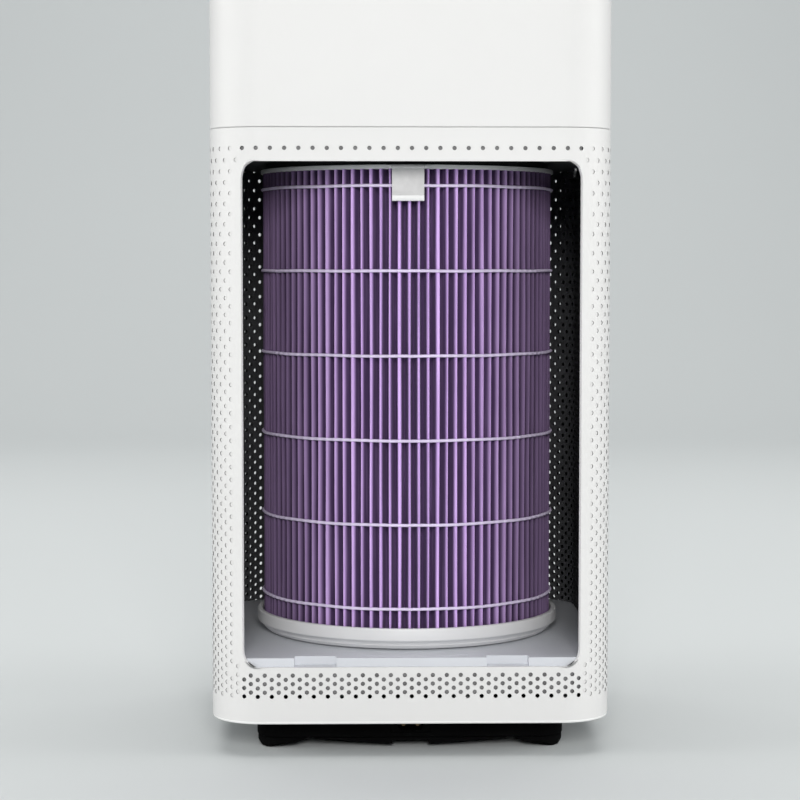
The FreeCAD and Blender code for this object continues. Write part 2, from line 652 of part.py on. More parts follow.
def particle_sensor():
    body = box(-114, -94, COVER_Y - COVER_HALF_Y, COVER_Y + COVER_HALF_Y, COVER_Z - 23, COVER_Z + 23)
    pocket = rod_x(9.4, -99.5, -93, COVER_Y, COVER_Z + 8)
    pin = rod_x(1.0, -100, -94.5, COVER_Y, COVER_Z + 8)
    intake = box(-115, -108, COVER_Y - 8, COVER_Y + 8, COVER_Z - 18, COVER_Z - 8)
    return body.cut(Part.makeCompound([pocket, intake])).fuse(pin).removeSplitter()


def sensor_fan():
    hub = rod_x(3.0, -99.1, -94.6, COVER_Y, COVER_Z + 8)
    blades = []
    for i in range(5):
        paddle = box(-98.8, -94.9, COVER_Y + 2.5, COVER_Y + 8.8, COVER_Z + 7.5, COVER_Z + 8.5)
        paddle.rotate(V(-97, COVER_Y, COVER_Z + 8), ALONG_X, 72 * i)
        blades.append(paddle)
    return fuse(hub, *blades).cut(rod_x(1.0 + RUNNING, -101, -94, COVER_Y, COVER_Z + 8))


def door_switch():
    body = box(SWITCH_X - 10, SWITCH_X + 10, SWITCH_Y - 3.5, SWITCH_Y + 3.5, DECK_TOP, DECK_TOP + 11)
    return body.cut(disc(1.9, DECK_TOP - 1, DECK_TOP + 4.4, SWITCH_X, SWITCH_Y))


def door_plunger():
    plunger = disc(1.6, DECK_BOTTOM - 2.8, DECK_TOP + 1.9, SWITCH_X, SWITCH_Y)
    return round_rim(plunger, DECK_BOTTOM - 2.8, 0.6)


def main_board():
    board = box(-MAIN_BOARD_HALF, MAIN_BOARD_HALF + 12, MAIN_BOARD_Y, MAIN_BOARD_Y + BOARD,
                MAIN_BOARD_BOTTOM, MAIN_BOARD_TOP)
    holes = [rod_y(SCREW_R + 0.2, MAIN_BOARD_Y - 1, MAIN_BOARD_Y + 3, x, z) for x, z in MAIN_BOARD_SCREWS]
    return board.cut(Part.makeCompound(holes))


def main_board_parts():
    face = MAIN_BOARD_Y
    return Part.makeCompound([
        box(-8, 8, face - 1.6, face, 412, 428),
        box(-24, -14, face - 4.5, face, 400, 420),
        box(12, 24, face - 6.0, face, 424, 436),
        rod_y(4.0, face - 7.5, face, 20, 408),
        box(-20, -2, face - 5.0, face, 434, 440),
        box(CABLE_X - 5, CABLE_X + 5, face - 3.5, face, 388, 396),
    ])


def power_board():
    board = box(-45, 45, -BASE_HALF + 17, 42, BASE_FLOOR + 2.4, BASE_FLOOR + 4)
    return drilled(board, POWER_BOARD_SCREWS, SCREW_R + 0.2, BASE_FLOOR, BASE_FLOOR + 6)


def power_board_parts():
    top = BASE_FLOOR + 4
    return Part.makeCompound([
        box(-20, 12, -30, 0, top, top + 26),
        disc(11, top, top + 30, -26, 22),
        disc(6, top, top + 20, 24, -24),
        box(18, 22, 2, 34, top, top + 24),
        box(-34, -26, -44, -14, top, top + 12),
        box(CABLE_X - 5, CABLE_X + 3, 37.5, 42, top, top + 6),
    ])


def routed(points, radius):
    """Straight runs joined by tangent arcs of one radius, through right-angled corners."""
    edges = []
    start = points[0]
    for before, corner, after in zip(points, points[1:], points[2:]):
        arriving = (corner - before).normalize()
        leaving = (after - corner).normalize()
        begin = corner - arriving * radius
        end = corner + leaving * radius
        inside = corner + (leaving - arriving) * radius * (1 - math.sqrt(0.5))
        edges.append(Part.makeLine(start, begin))
        edges.append(Part.Arc(begin, inside, end).toShape())
        start = end
    edges.append(Part.makeLine(start, points[-1]))
    return Part.Wire(edges)


def wiring():
    """The cable from the power board, up its channel behind the cartridge, to the main board."""
    low = BASE_FLOOR + 7.5
    path = routed([V(CABLE_X, 42, low), V(CABLE_X, 80, low), V(CABLE_X, 80, 40),
                   V(CABLE_X, CABLE_Y, 40), V(CABLE_X, CABLE_Y, MAIN_BOARD_BOTTOM - FIT)], 9.0)
    profile = Part.Wire(Part.makeCircle(CABLE_R, V(CABLE_X, 42, low), ALONG_Y))
    return path.makePipeShell([profile], True, False)


# ---------------------------------------------------------------- fasteners

def base_screws():
    return screws(BASE_SCREWS, FLOOR_GAP, 5.0, up=False)


def deck_screws():
    return screws(DECK_SCREWS, DECK_TOP, 9.0)


def duct_screws():
    return screws(duct_screw_points(), DECK_TOP + SKIN, 5.0)


def board_screws():
    upright = screws(POWER_BOARD_SCREWS, BASE_FLOOR + 4, 3.6)
    made = list(upright.Solids)
    for x, z in MAIN_BOARD_SCREWS:
        head = rod_y(HEAD_R, MAIN_BOARD_Y - HEAD_H, MAIN_BOARD_Y, x, z)
        made.append(head.fuse(rod_y(SCREW_R, MAIN_BOARD_Y - 1, INNER, x, z)).removeSplitter())
    return Part.makeCompound(made)


NODES = (
    lower_casing, upper_casing, top_deck, outlet_grille, base_plate, corner_feet, rubber_pads,
    cord_guide, power_inlet, inlet_pins, filter_tray, cable_channel, fan_deck, deck_seal, inlet_ring,
    fan_duct, fan_wheel, fan_blades, fan_shroud, rotor_cup, rotor_magnets, motor_shaft, motor_mount,
    guide_vanes, motor_bearings, motor_stator, stator_coils, motor_cover, filter_base_ring,
    filter_top_ring, tab_pin, pull_tab, filter_media, filter_hoops, filter_core, carbon_sleeve,
    power_button, power_switch, dimmer_button, dimmer_switch, display_window, display_panel,
    display_board, sensor_vent, climate_sensor, sensor_cover, particle_sensor, sensor_fan, door_switch,
    door_plunger, main_board, main_board_parts, power_board, power_board_parts, wiring, base_screws,
    deck_screws, duct_screws, board_screws,
)

os.makedirs("parts", exist_ok=True)
for node in NODES:
    shape = node()
    shape.exportStep("parts/%s.step" % node.__name__)
    print("%-20s %3d solids, valid %s" % (node.__name__, len(shape.Solids), shape.isValid()))
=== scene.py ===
"""The looks of a tower air purifier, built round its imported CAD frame. Blender units are metres.

+Z is up and -Y is the side with the doorway. Lengths below are in millimetres, times MM.
"""
import json
import math

import bpy
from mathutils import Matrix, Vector
from mathutils.geometry import delaunay_2d_cdt


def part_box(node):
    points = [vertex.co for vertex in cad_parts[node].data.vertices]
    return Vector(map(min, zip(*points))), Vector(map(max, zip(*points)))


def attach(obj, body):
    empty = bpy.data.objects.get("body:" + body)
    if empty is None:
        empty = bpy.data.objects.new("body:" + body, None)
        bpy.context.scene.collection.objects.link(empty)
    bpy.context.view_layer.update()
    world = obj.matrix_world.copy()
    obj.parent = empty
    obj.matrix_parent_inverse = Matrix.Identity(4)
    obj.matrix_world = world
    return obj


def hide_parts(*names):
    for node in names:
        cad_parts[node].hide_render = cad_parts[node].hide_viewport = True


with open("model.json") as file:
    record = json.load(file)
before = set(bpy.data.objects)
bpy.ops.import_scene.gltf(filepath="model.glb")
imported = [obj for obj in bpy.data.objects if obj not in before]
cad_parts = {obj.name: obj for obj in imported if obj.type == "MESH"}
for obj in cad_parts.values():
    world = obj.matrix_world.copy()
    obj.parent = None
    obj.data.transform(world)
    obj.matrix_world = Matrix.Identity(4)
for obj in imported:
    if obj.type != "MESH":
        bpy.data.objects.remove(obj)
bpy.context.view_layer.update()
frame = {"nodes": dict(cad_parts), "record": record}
nodes = frame["nodes"]

MM = 0.001

# Casing
HALF = 120.0
CORNER_R = 31.0
WALL = 2.4
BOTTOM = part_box("lower_casing")[0].z / MM
SEAM_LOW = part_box("lower_casing")[1].z / MM
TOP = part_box("upper_casing")[1].z / MM
EDGE_R = 1.8
EDGE_STEPS = 4
FLANGE_HALF = 93.9
FLANGE_R = 16.3

# Upper casing: rims, ledge under the top deck, skirt inside the seam, cut-outs
SEAM_GAP = 0.25
SEAM_CHAMFER = 0.5
UPPER_EDGE = 2.4
UPPER_STEPS = 6
LEDGE_HALF = 112.0
LEDGE_R = CORNER_R - WALL - 5
LEDGE_LOW = 512.0
LEDGE_HIGH = 514.5
SKIRT = 2.0
SKIRT_LOW = 366.0
SKIRT_TOP = 376.0
CUT_GAP = 0.3
CUT_INSIDE = 116
CUT_OUTSIDE = 122
WINDOW_R = 21.3
DIMMER_R = 5.85
COVER_R = 4.0
VENT_R = 3.0

# Air holes: columns round the casing, counted from the doorway's middle, and half rows counted down from the
# seam. Two polynomials in level / ROW_SPAN give a half row's height and its lift towards the display's side.
COLUMNS = 220
REAR_COLUMNS = 32
PITCH = 4.1596
HOLE_R = 1.3
HOLE_SIDES = 12
ROW_LAW = (361.33, -565.79, 586.44, -759.31, 606.23, -192.05)
ROW_SPAN = 82
FRONT_RISE = (2.93, -1.52, -3.98)
LEVEL_FIRST = -1
LEVEL_LAST = 83
OPENING_CLEAR = 5.3

# Doorway: half width along the arc, heights, corner radii, and the spacing of the points round it
OPENING_S = 100.8
OPENING_LOW = 54.2
OPENING_HIGH = 353.7
OPENING_RS = 8.0
OPENING_RZ = 11.0
OPENING_SPACING = 8.0
OUTLINES_AWAY = (1.2, 2.6)
OUTLINE_SPACING = 3.0

# The triangulated block round it, in columns and half rows; SLIVER is the doubled area of a triangle to drop
BLOCK_COLUMNS = 27
BLOCK_TOP = -1
BLOCK_BOTTOM = 76
LATTICE_CLEAR = 3.6
BORDER_CLEAR = 0.4
SLIVER = 0.002

# Liners a little way down the holes: from this column outwards white, inside it a dark grey that is painted
# shade
LINER_COLUMN = 25
CORNER_LINER_DEPTH = 0.35
BAND_LINER_DEPTH = 1.2

# Cartridge
PLEATS = 98
PLEAT_PHASE = -0.54
MEDIA_TIP = 92.4
MEDIA_ROOT = 82.0
MEDIA_BACK = 6.0
HOOPS = 6
HOOP_INSET = 0.8
BEAD_R = 0.85
BEAD_Z = 0.95
LUG_ROOT = -91.5
LUG_R = 1.2
FOLD_R = 0.9
RIBBON_HALF = 0.4
HEM_HALF = 1.8

# Mesh steps, and material slots after the outer skin's 0
SMOOTH_BELOW = 35.0
TURNED_SIDES = 256
CORNER_STEPS = 3
SIDE_STEPS = 8
ARC_STEPS = 12
# Slot 1: the inner faces' painted shade.
INNER_SHADE_SLOT = 1
# Slot 2: the bottom edge's painted highlight.
EDGE_HIGHLIGHT_SLOT = 2


# ---------------------------------------------------------------- mesh helpers

def mesh_object(name, points, faces, body, materials, smooth_angle=SMOOTH_BELOW, slots=None):
    """A mesh from millimetre points, smooth below an angle, riding on a body."""
    mesh = bpy.data.meshes.new(name)
    mesh.from_pydata([[c * MM for c in p] for p in points], [], faces)
    mesh.update()
    obj = bpy.data.objects.new(name, mesh)
    bpy.context.collection.objects.link(obj)
    for material in materials:
        mesh.materials.append(material)
    if slots is not None:
        mesh.polygons.foreach_set("material_index", slots)
    mesh.polygons.foreach_set("use_smooth", [True] * len(mesh.polygons))
    mesh.set_sharp_from_angle(angle=math.radians(smooth_angle))
    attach(obj, body)
    return obj


def ring_faces(rings, count, start=0):
    """Faces through a closed round of rings, each of count points."""
    faces = []
    for i in range(rings):
        a = start + i * count
        b = start + (i + 1) % rings * count
        for k in range(count):
            m = (k + 1) % count
            faces.append((a + k, b + k, b + m, a + m))
    return faces


def turned(name, profile, body, material):
    """A surface of revolution about Z from a closed loop of (radius, z) points."""
    sides = TURNED_SIDES
    points = []
    for i in range(sides):
        angle = 2 * math.pi * i / sides
        points += [(r * math.cos(angle), r * math.sin(angle), z) for r, z in profile]
    return mesh_object(name, points, ring_faces(sides, len(profile)), body, [material])


def softened(profile, radius):
    """The same closed profile with every corner rounded."""
    steps = CORNER_STEPS
    out = []
    n = len(profile)
    for i, corner in enumerate(profile):
        c = Vector(corner)
        a = Vector(profile[i - 1]) - c
        b = Vector(profile[(i + 1) % n]) - c
        reach = min(radius, a.length * 0.45, b.length * 0.45)
        start = c + a.normalized() * reach
        end = c + b.normalized() * reach
        for k in range(steps + 1):
            t = k / steps
            out.append(tuple(start * (1 - t) ** 2 + c * 2 * t * (1 - t) + end * t ** 2))
    return out


def on_outline(s, half, radius):
    """(x, y, normal x, normal y) on a rounded square.

    s is the outer casing's arc length from the middle of the doorway's side. A smaller outline is followed at
    the same share of each side and corner.
    """
    straight = 2 * (HALF - CORNER_R)
    arc = math.pi / 2 * CORNER_R
    s = (s + straight / 2) % (4 * (straight + arc))
    side = int(s // (straight + arc))
    rest = s - side * (straight + arc)
    reach = half - radius
    if rest <= straight:
        x = -reach + 2 * reach * rest / straight
        y = -half
        nx, ny = 0.0, -1.0
    else:
        angle = (rest - straight) / CORNER_R
        nx, ny = math.sin(angle), -math.cos(angle)
        x = reach + radius * nx
        y = -reach + radius * ny
    for _ in range(side):
        x, y = -y, x
        nx, ny = -ny, nx
    return x, y, nx, ny


PERIMETER = 4 * (2 * (HALF - CORNER_R) + math.pi / 2 * CORNER_R)


# ---------------------------------------------------------------- the perforated lower casing

def column_s(column):
    """Arc length of a column. The rear and front keep the pitch; the sides take up what is left over."""
    turns, c = divmod(column + REAR_COLUMNS, COLUMNS)
    c -= REAR_COLUMNS
    front = COLUMNS // 2
    sides = (PERIMETER / 2 - 2 * REAR_COLUMNS * PITCH) / (front - 2 * REAR_COLUMNS)
    if c <= REAR_COLUMNS:
        s = c * PITCH
    elif c < front - REAR_COLUMNS:
        s = REAR_COLUMNS * PITCH + (c - REAR_COLUMNS) * sides
    elif c <= front + REAR_COLUMNS:
        s = PERIMETER / 2 + (c - front) * PITCH
    else:
        s = PERIMETER - REAR_COLUMNS * PITCH - (COLUMNS - REAR_COLUMNS - c) * sides
    return s + turns * PERIMETER


def edge_s(edge):
    """Arc length of the line between a column and the next."""
    return (column_s(edge) + column_s(edge + 1)) / 2


def level_z(level, s=0.0):
    """Height of a half row: even levels are rows of even columns, odd levels lie between them."""
    t = level / ROW_SPAN
    z = sum(c * t ** k for k, c in enumerate(ROW_LAW))
    # 0 at the doorway's side, 1 at the display's.
    away = abs((s + PERIMETER / 2) % PERIMETER - PERIMETER / 2) / (PERIMETER / 2)
    blend = min(1.0, max(0.0, (away - 0.3) / 0.4))
    return z + blend * sum(c * t ** k for k, c in enumerate(FRONT_RISE))


def rounded_rect(half_x, low, high, rx, rz, steps=10):
    """Anticlockwise outline with elliptical corners."""
    points = []
    corners = ((half_x - rx, low + rz, -90), (half_x - rx, high - rz, 0),
               (-half_x + rx, high - rz, 90), (-half_x + rx, low + rz, 180))
    for cx, cz, start in corners:
        for k in range(steps + 1):
            angle = math.radians(start + 90 * k / steps)
            points.append((cx + rx * math.cos(angle), cz + rz * math.sin(angle)))
    return points


def clear_of_opening(s, z):
    """How far a point lies outside the doorway's rounded outline; negative inside."""
    dx = abs(s) - (OPENING_S - OPENING_RS)
    mid = (OPENING_LOW + OPENING_HIGH) / 2
    dz = abs(z - mid) - ((OPENING_HIGH - OPENING_LOW) / 2 - OPENING_RZ)
    if dx <= 0:
        return dz - OPENING_RZ
    if dz <= 0:
        return dx - OPENING_RS
    return math.hypot(dx, dz) - (OPENING_RS + OPENING_RZ) / 2


class CasingPart:
    """One share of the casing's wall: outer skin, inner skin, hole walls and cut ends."""

    def __init__(self, first, last):
        self.first = first
        self.last = last
        self.points = []
        self.normals = []
        self.faces = []
        self.face_normals = []
        self.slots = []
        self.index = {}

    def vertex(self, key, s, z, inner, half=None, radius=None):
        """The index of a named corner, made on first use."""
        if key not in self.index:
            if half is None:
                half = HALF - WALL if inner else HALF
                radius = CORNER_R - WALL if inner else CORNER_R
            x, y, nx, ny = on_outline(s, half, radius)
            self.points.append((x, y, z))
            sign = -1.0 if inner else 1.0
            self.normals.append((sign * nx, sign * ny, 0.0))
            self.index[key] = len(self.points) - 1
        return self.index[key]

    def face(self, corners, skin=True, slot=0, normals=None):
        """A face with given normals, with its corners' own on a skin, or flat."""
        self.faces.append(tuple(corners))
        self.slots.append(slot)
        if normals is not None:
            self.face_normals.append(normals)
        elif skin:
            self.face_normals.append([self.normals[c] for c in corners])
        else:
            self.face_normals.append(None)

    def both(self, cells):
        """Faces given by (key, s, z) corners, on the outer skin and mirrored on the inner."""
        for corners in cells:
            outer = [self.vertex(("o",) + k, s, z, False) for k, s, z in corners]
            inner = [self.vertex(("i",) + k, s, z, True) for k, s, z in corners]
            self.face(outer)
            self.face(inner[::-1], slot=INNER_SHADE_SLOT)

    def wall(self, loop, rounded=True):
        """The band between the skins along a loop of (key, s, z) corners; a rounded one is smooth."""
        outer = [self.vertex(("o",) + k, s, z, False) for k, s, z in loop]
        inner = [self.vertex(("i",) + k, s, z, True) for k, s, z in loop]
        count = len(loop)
        centre = [sum(self.points[i][c] for i in outer) / count for c in range(3)]
        for a in range(count):
            b = (a + 1) % count
            normals = None
            if rounded:
                normals = [self.toward(centre, v) for v in (outer[b], outer[a], outer[a], outer[b])]
            self.face((outer[b], outer[a], inner[a], inner[b]), normals=normals, skin=False)

    def toward(self, centre, vertex):
        """The direction along the skin from a corner to the loop's centre."""
        step = Vector(centre) - Vector(self.points[vertex])
        normal = Vector(self.normals[vertex])
        step -= normal * step.dot(normal)
        return tuple(step.normalized())


def lattice(column_edge, level):
    """(key, s, z) of a lattice corner; column_edge j is the line between columns j and j + 1."""
    s = edge_s(column_edge)
    return ("l", column_edge % COLUMNS, level), s, level_z(level, s)


def hole_ring(column, level):
    """(key, s, z) round one air hole, anticlockwise."""
    ring = []
    s = column_s(column)
    z = level_z(level, s)
    for k in range(HOLE_SIDES):
        angle = 2 * math.pi * (k + 0.5) / HOLE_SIDES
        key = ("h", column % COLUMNS, level, k)
        ring.append((key, s + HOLE_R * math.cos(angle), z + HOLE_R * math.sin(angle)))
    return ring


def has_hole(column, level):
    """Holes lie where row and column are both even or both odd."""
    return level % 2 == column % 2 and 0 <= level < LEVEL_LAST


def ring_cell(part, column, level):
    """One air hole in its cell: six lattice corners round a ring of hole corners."""
    ring = hole_ring(column, level)
    hexagon = [lattice(column, level + 1), lattice(column, level), lattice(column, level - 1),
               lattice(column - 1, level - 1), lattice(column - 1, level), lattice(column - 1, level + 1)]
    centre = (column_s(column), level_z(level, column_s(column)))
    around = sorted([(math.atan2(z - centre[1], s - centre[0]), i) for i, (_, s, z) in enumerate(hexagon)])
    hexagon = [hexagon[i] for _, i in around]
    angles = [a for a, _ in around]
    cells = []
    step = 2 * math.pi / HOLE_SIDES
    ring_angles = [math.atan2(z - centre[1], s - centre[0]) for _, s, z in ring]
    order = sorted(range(HOLE_SIDES), key=lambda k: ring_angles[k])
    ring = [ring[k] for k in order]
    ring_angles = [ring_angles[k] for k in order]
    # Walk both loops by angle, always advancing the one whose next corner comes first.
    i = 0
    j = 0
    while i < len(hexagon) or j < HOLE_SIDES:
        next_hex = angles[(i + 1) % 6] + (2 * math.pi if i + 1 >= 6 else 0)
        next_ring = ring_angles[(j + 1) % HOLE_SIDES] + (2 * math.pi if j + 1 >= HOLE_SIDES else 0)
        if j >= HOLE_SIDES or (i < 6 and next_hex <= next_ring + step * 0.25):
            cells.append((hexagon[i % 6], hexagon[(i + 1) % 6], ring[j % HOLE_SIDES]))
            i += 1
        else:
            cells.append((hexagon[i % 6], ring[(j + 1) % HOLE_SIDES], ring[j % HOLE_SIDES]))
            j += 1
    part.both(cells)
    part.wall(ring)


def plain_cell(part, column, level):
    """The unpierced wall between two half rows."""
    part.both([(lattice(column - 1, level + 1), lattice(column, level + 1),
                lattice(column, level), lattice(column - 1, level))])


def in_block(column, level):
    """Whether the half-row cell under this level belongs to the doorway's block."""
    return abs(column) <= BLOCK_COLUMNS and BLOCK_TOP <= level < BLOCK_BOTTOM


def block_holes():
    """(column, level) of the air holes inside the doorway's block."""
    for column in range(-BLOCK_COLUMNS, BLOCK_COLUMNS + 1):
        for level in range(BLOCK_TOP + 1, BLOCK_BOTTOM):
            if not has_hole(column, level):
                continue
            if clear_of_opening(column * PITCH, level_z(level)) >= OPENING_CLEAR:
                yield column, level


def doorway_outline(name, away, spacing):
    """(key, s, z) along the doorway's outline, moved outwards by away and divided at about a spacing."""
    outline = rounded_rect(OPENING_S + away, OPENING_LOW - away, OPENING_HIGH + away, OPENING_RS + away,
                           OPENING_RZ + away)
    loop = []
    for i, (s, z) in enumerate(outline):
        following = outline[(i + 1) % len(outline)]
        steps = max(1, int(math.dist((s, z), following) / spacing))
        for k in range(steps):
            t = k / steps
            loop.append(((name, i, k), s + (following[0] - s) * t, z + (following[1] - z) * t))
    return loop


def doorway_block(part):
    """The wall round the doorway, filled by triangulation between lattice, holes and outline."""
    left = -BLOCK_COLUMNS - 1
    right = BLOCK_COLUMNS
    border = [lattice(c, BLOCK_BOTTOM) for c in range(left, right)]
    border += [lattice(right, lv) for lv in range(BLOCK_BOTTOM, BLOCK_TOP, -1)]
    border += [lattice(c, BLOCK_TOP) for c in range(right, left, -1)]
    border += [lattice(left, lv) for lv in range(BLOCK_TOP, BLOCK_BOTTOM)]
    opening = doorway_outline("w", 0.0, OPENING_SPACING)
    rings = [hole_ring(c, lv) for c, lv in block_holes()]
    inner_points = []
    for column in range(left + 1, right + 1):
        for level in range(BLOCK_TOP + 1, BLOCK_BOTTOM, 2):
            corner = lattice(column - 1, level)
            if clear_of_opening(corner[1], corner[2]) > LATTICE_CLEAR:
                inner_points.append(corner)
    for ring, away in enumerate(OUTLINES_AWAY):
        for corner in doorway_outline("n%d" % ring, away, OUTLINE_SPACING):
            if corner[2] > level_z(BLOCK_BOTTOM) + BORDER_CLEAR:
                inner_points.append(corner)
    named = []
    edges = []
    for loop in [border, opening] + rings:
        start = len(named)
        named += loop
        edges += [(start + i, start + (i + 1) % len(loop)) for i in range(len(loop))]
    named += inner_points
    flat = [Vector((s, z)) for _, s, z in named]
    out, _, triangles, origins, _, _ = delaunay_2d_cdt(flat, edges, [], 0, 1e-5)
    holes = [(c * PITCH, level_z(lv)) for c, lv in block_holes()]
    cells = []
    for triangle in triangles:
        corners = [named[origins[v][0]] for v in triangle]
        s = sum(c[1] for c in corners) / 3
        z = sum(c[2] for c in corners) / 3
        if clear_of_opening(s, z) < 0 and point_in(opening, s, z):
            continue
        if any((s - hs) ** 2 + (z - hz) ** 2 < (HOLE_R * 0.97) ** 2 for hs, hz in holes):
            continue
        (_, sa, za), (_, sb, zb), (_, sc, zc) = corners
        if abs((sb - sa) * (zc - za) - (sc - sa) * (zb - za)) < SLIVER:
            continue
        cells.append(corners)
    part.both(cells)
    for ring in rings:
        part.wall(ring)
    part.wall(opening, rounded=False)


def point_in(loop, s, z):
    """Whether a point lies inside a loop of (key, s, z) corners."""
    inside = False
    for i, (_, s0, z0) in enumerate(loop):
        _, s1, z1 = loop[i - 1]
        if (z0 > z) != (z1 > z) and s < (s1 - s0) * (z - z0) / (z1 - z0) + s0:
            inside = not inside
    return inside


def edge_profile():
    """Loops of the bottom edge and inner flange: (z, half, radius), outer wall first."""
    loops = []
    for k in range(EDGE_STEPS + 1):
        angle = math.pi / 2 * k / EDGE_STEPS
        inset = EDGE_R * (1 - math.cos(angle))
        loops.append((BOTTOM + EDGE_R * (1 - math.sin(angle)), HALF - inset, CORNER_R - inset))
    loops.append((BOTTOM, FLANGE_HALF, FLANGE_R))
    loops.append((BOTTOM + WALL, FLANGE_HALF, FLANGE_R))
    loops.append((BOTTOM + WALL, HALF - WALL, CORNER_R - WALL))
    return loops


def casing_part(name, first, last, with_block=False):
    """The casing between two column edges."""
    part = CasingPart(first, last)
    for column in range(first + 1, last + 1):
        level = LEVEL_FIRST
        while level < LEVEL_LAST:
            if with_block and in_block(column, level):
                level += 1
                continue
            hole = has_hole(column, level + 1) and level + 2 <= LEVEL_LAST
            if hole and with_block and in_block(column, level + 1):
                hole = False
            if hole:
                ring_cell(part, column, level + 1)
                level += 2
            else:
                plain_cell(part, column, level)
                level += 1
    if with_block:
        doorway_block(part)
    rims_and_ends(part)
    materials = [WHITE, INNER_PAINTED_SHADE, EDGE_PAINTED_HIGHLIGHT]
    obj = mesh_object(name, part.points, part.faces, "housing", materials, slots=part.slots)
    loops = []
    for polygon, given in zip(obj.data.polygons, part.face_normals):
        for k, _ in enumerate(polygon.vertices):
            loops.append(tuple(polygon.normal) if given is None else given[k])
    obj.data.normals_split_custom_set(loops)
    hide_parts("lower_casing")


def rims_and_ends(part):
    """Closes the part along its top rim, its bottom flange and its two cut ends."""
    edges = range(part.first, part.last + 1)
    profile = edge_profile()

    def top(edge, inner):
        key = ("t", edge % COLUMNS, inner)
        return part.vertex(key, edge_s(edge), SEAM_LOW, inner)

    def low(edge, k):
        z, half, radius = profile[k]
        return part.vertex(("b", edge % COLUMNS, k), edge_s(edge), z, False, half, radius)

    def skin(edge, level, inner):
        key, s, z = lattice(edge, level)
        return part.vertex((("i" if inner else "o"),) + key, s, z, inner)

    last = len(profile) - 1
    for edge in list(edges)[:-1]:
        after = edge + 1
        part.face((skin(edge, LEVEL_FIRST, False), skin(after, LEVEL_FIRST, False),
                   top(after, False), top(edge, False)))
        part.face((top(edge, True), top(after, True),
                   skin(after, LEVEL_FIRST, True), skin(edge, LEVEL_FIRST, True)), slot=INNER_SHADE_SLOT)
        part.face((top(edge, False), top(after, False), top(after, True), top(edge, True)), skin=False)
        part.face((low(edge, 0), low(after, 0),
                   skin(after, LEVEL_LAST, False), skin(edge, LEVEL_LAST, False)))
        part.face((skin(edge, LEVEL_LAST, True), skin(after, LEVEL_LAST, True),
                   low(after, last), low(edge, last)), slot=INNER_SHADE_SLOT, skin=False)
        for k in range(last):
            corners = (low(edge, k + 1), low(after, k + 1), low(after, k), low(edge, k))
            if k < EDGE_STEPS:
                tilt = [math.pi / 2 * (k + 1) / EDGE_STEPS] * 2 + [math.pi / 2 * k / EDGE_STEPS] * 2
                normals = []
                for c, t in zip(corners, tilt):
                    nx, ny, _ = part.normals[c]
                    normals.append((nx * math.cos(t), ny * math.cos(t), -math.sin(t)))
                # The bottom edge's rounding takes the painted highlight.
                part.face(corners, normals=normals, slot=EDGE_HIGHLIGHT_SLOT)
            else:
                part.face(corners, skin=False, slot=INNER_SHADE_SLOT if k == last - 1 else 0)
    for edge, forward in ((part.first, True), (part.last, False)):
        levels = range(LEVEL_FIRST, LEVEL_LAST + 1)
        outer = [top(edge, False)] + [skin(edge, lv, False) for lv in levels]
        outer += [low(edge, k) for k in range(EDGE_STEPS + 1)]
        inner = [top(edge, True)] + [skin(edge, lv, True) for lv in levels]
        inner += [low(edge, last)] * (EDGE_STEPS + 1)
        for a in range(len(outer) - 1):
            quad = [outer[a], outer[a + 1], inner[a + 1], inner[a]]
            loop = [v for i, v in enumerate(quad) if v != quad[i - 1]]
            part.face(loop if forward else loop[::-1], skin=False)
        tail = [outer[-1], low(edge, EDGE_STEPS + 1), low(edge, EDGE_STEPS + 2), low(edge, last)]
        part.face(tail if forward else tail[::-1], skin=False)


def hole_liner(name, material, depth, chosen):
    """Floors a little way down the chosen rear air holes, where a frame stands behind the casing; grey ones
    are painted shade.
    """
    points = []
    faces = []
    for column in range(-REAR_COLUMNS, REAR_COLUMNS + 1):
        for level in range(LEVEL_LAST):
            if not has_hole(column, level) or not chosen(column, level):
                continue
            if in_block(column, level) and clear_of_opening(column_s(column), level_z(level)) < OPENING_CLEAR:
                continue
            start = len(points)
            for _, s, z in hole_ring(column, level):
                x, y, _, _ = on_outline(s, HALF - depth, CORNER_R - depth)
                points.append((x, y, z))
            faces.append(tuple(range(start, start + HOLE_SIDES)))
    obj = mesh_object(name, points, faces, "housing", [material])
    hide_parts("lower_casing")


# ---------------------------------------------------------------- materials

def new_material(name):
    """A material with its nodes and links."""
    material = bpy.data.materials.new(name)
    material.use_nodes = True
    return material, material.node_tree.nodes, material.node_tree.links


def noise(n, links, coords, scale, detail=3.0, stretch=(1, 1, 1)):
    """Noise in the piece's own space, stretched along an axis where it should look drawn out."""
    mapping = n.new("ShaderNodeMapping")
    mapping.inputs["Scale"].default_value = stretch
    links.new(coords.outputs["Object"], mapping.inputs["Vector"])
    texture = n.new("ShaderNodeTexNoise")
    texture.inputs["Scale"].default_value = scale
    texture.inputs["Detail"].default_value = detail
    links.new(mapping.outputs["Vector"], texture.inputs["Vector"])
    return texture


def mapped(n, links, source, span, to=(0.0, 1.0), interpolation="LINEAR"):
    """A value with its span mapped to another."""
    ranged = n.new("ShaderNodeMapRange")
    ranged.interpolation_type = interpolation
    for name, value in zip(("From Min", "From Max", "To Min", "To Max"), (*span, *to)):
        ranged.inputs[name].default_value = value
    links.new(source, ranged.inputs["Value"])
    return ranged.outputs["Result"]


def spread(n, links, source, low, high):
    """Maps a noise's middle range, where most of its values fall, to low..high."""
    return mapped(n, links, source, (0.3, 0.7), (low, high))


def relief(n, links, height, strength, distance):
    """Bumps the material's surface by a height."""
    bump = n.new("ShaderNodeBump")
    bump.inputs["Strength"].default_value = strength
    bump.inputs["Distance"].default_value = distance
    links.new(height, bump.inputs["Height"])
    links.new(bump.outputs["Normal"], n["Principled BSDF"].inputs["Normal"])


def tinted(n, links, factor, dark, light):
    """The colour between dark and light at a factor."""
    mix = n.new("ShaderNodeMix")
    mix.data_type = "RGBA"
    mix.inputs["A"].default_value = (*dark, 1)
    mix.inputs["B"].default_value = (*light, 1)
    links.new(factor, mix.inputs["Factor"])
    return mix.outputs["Result"]


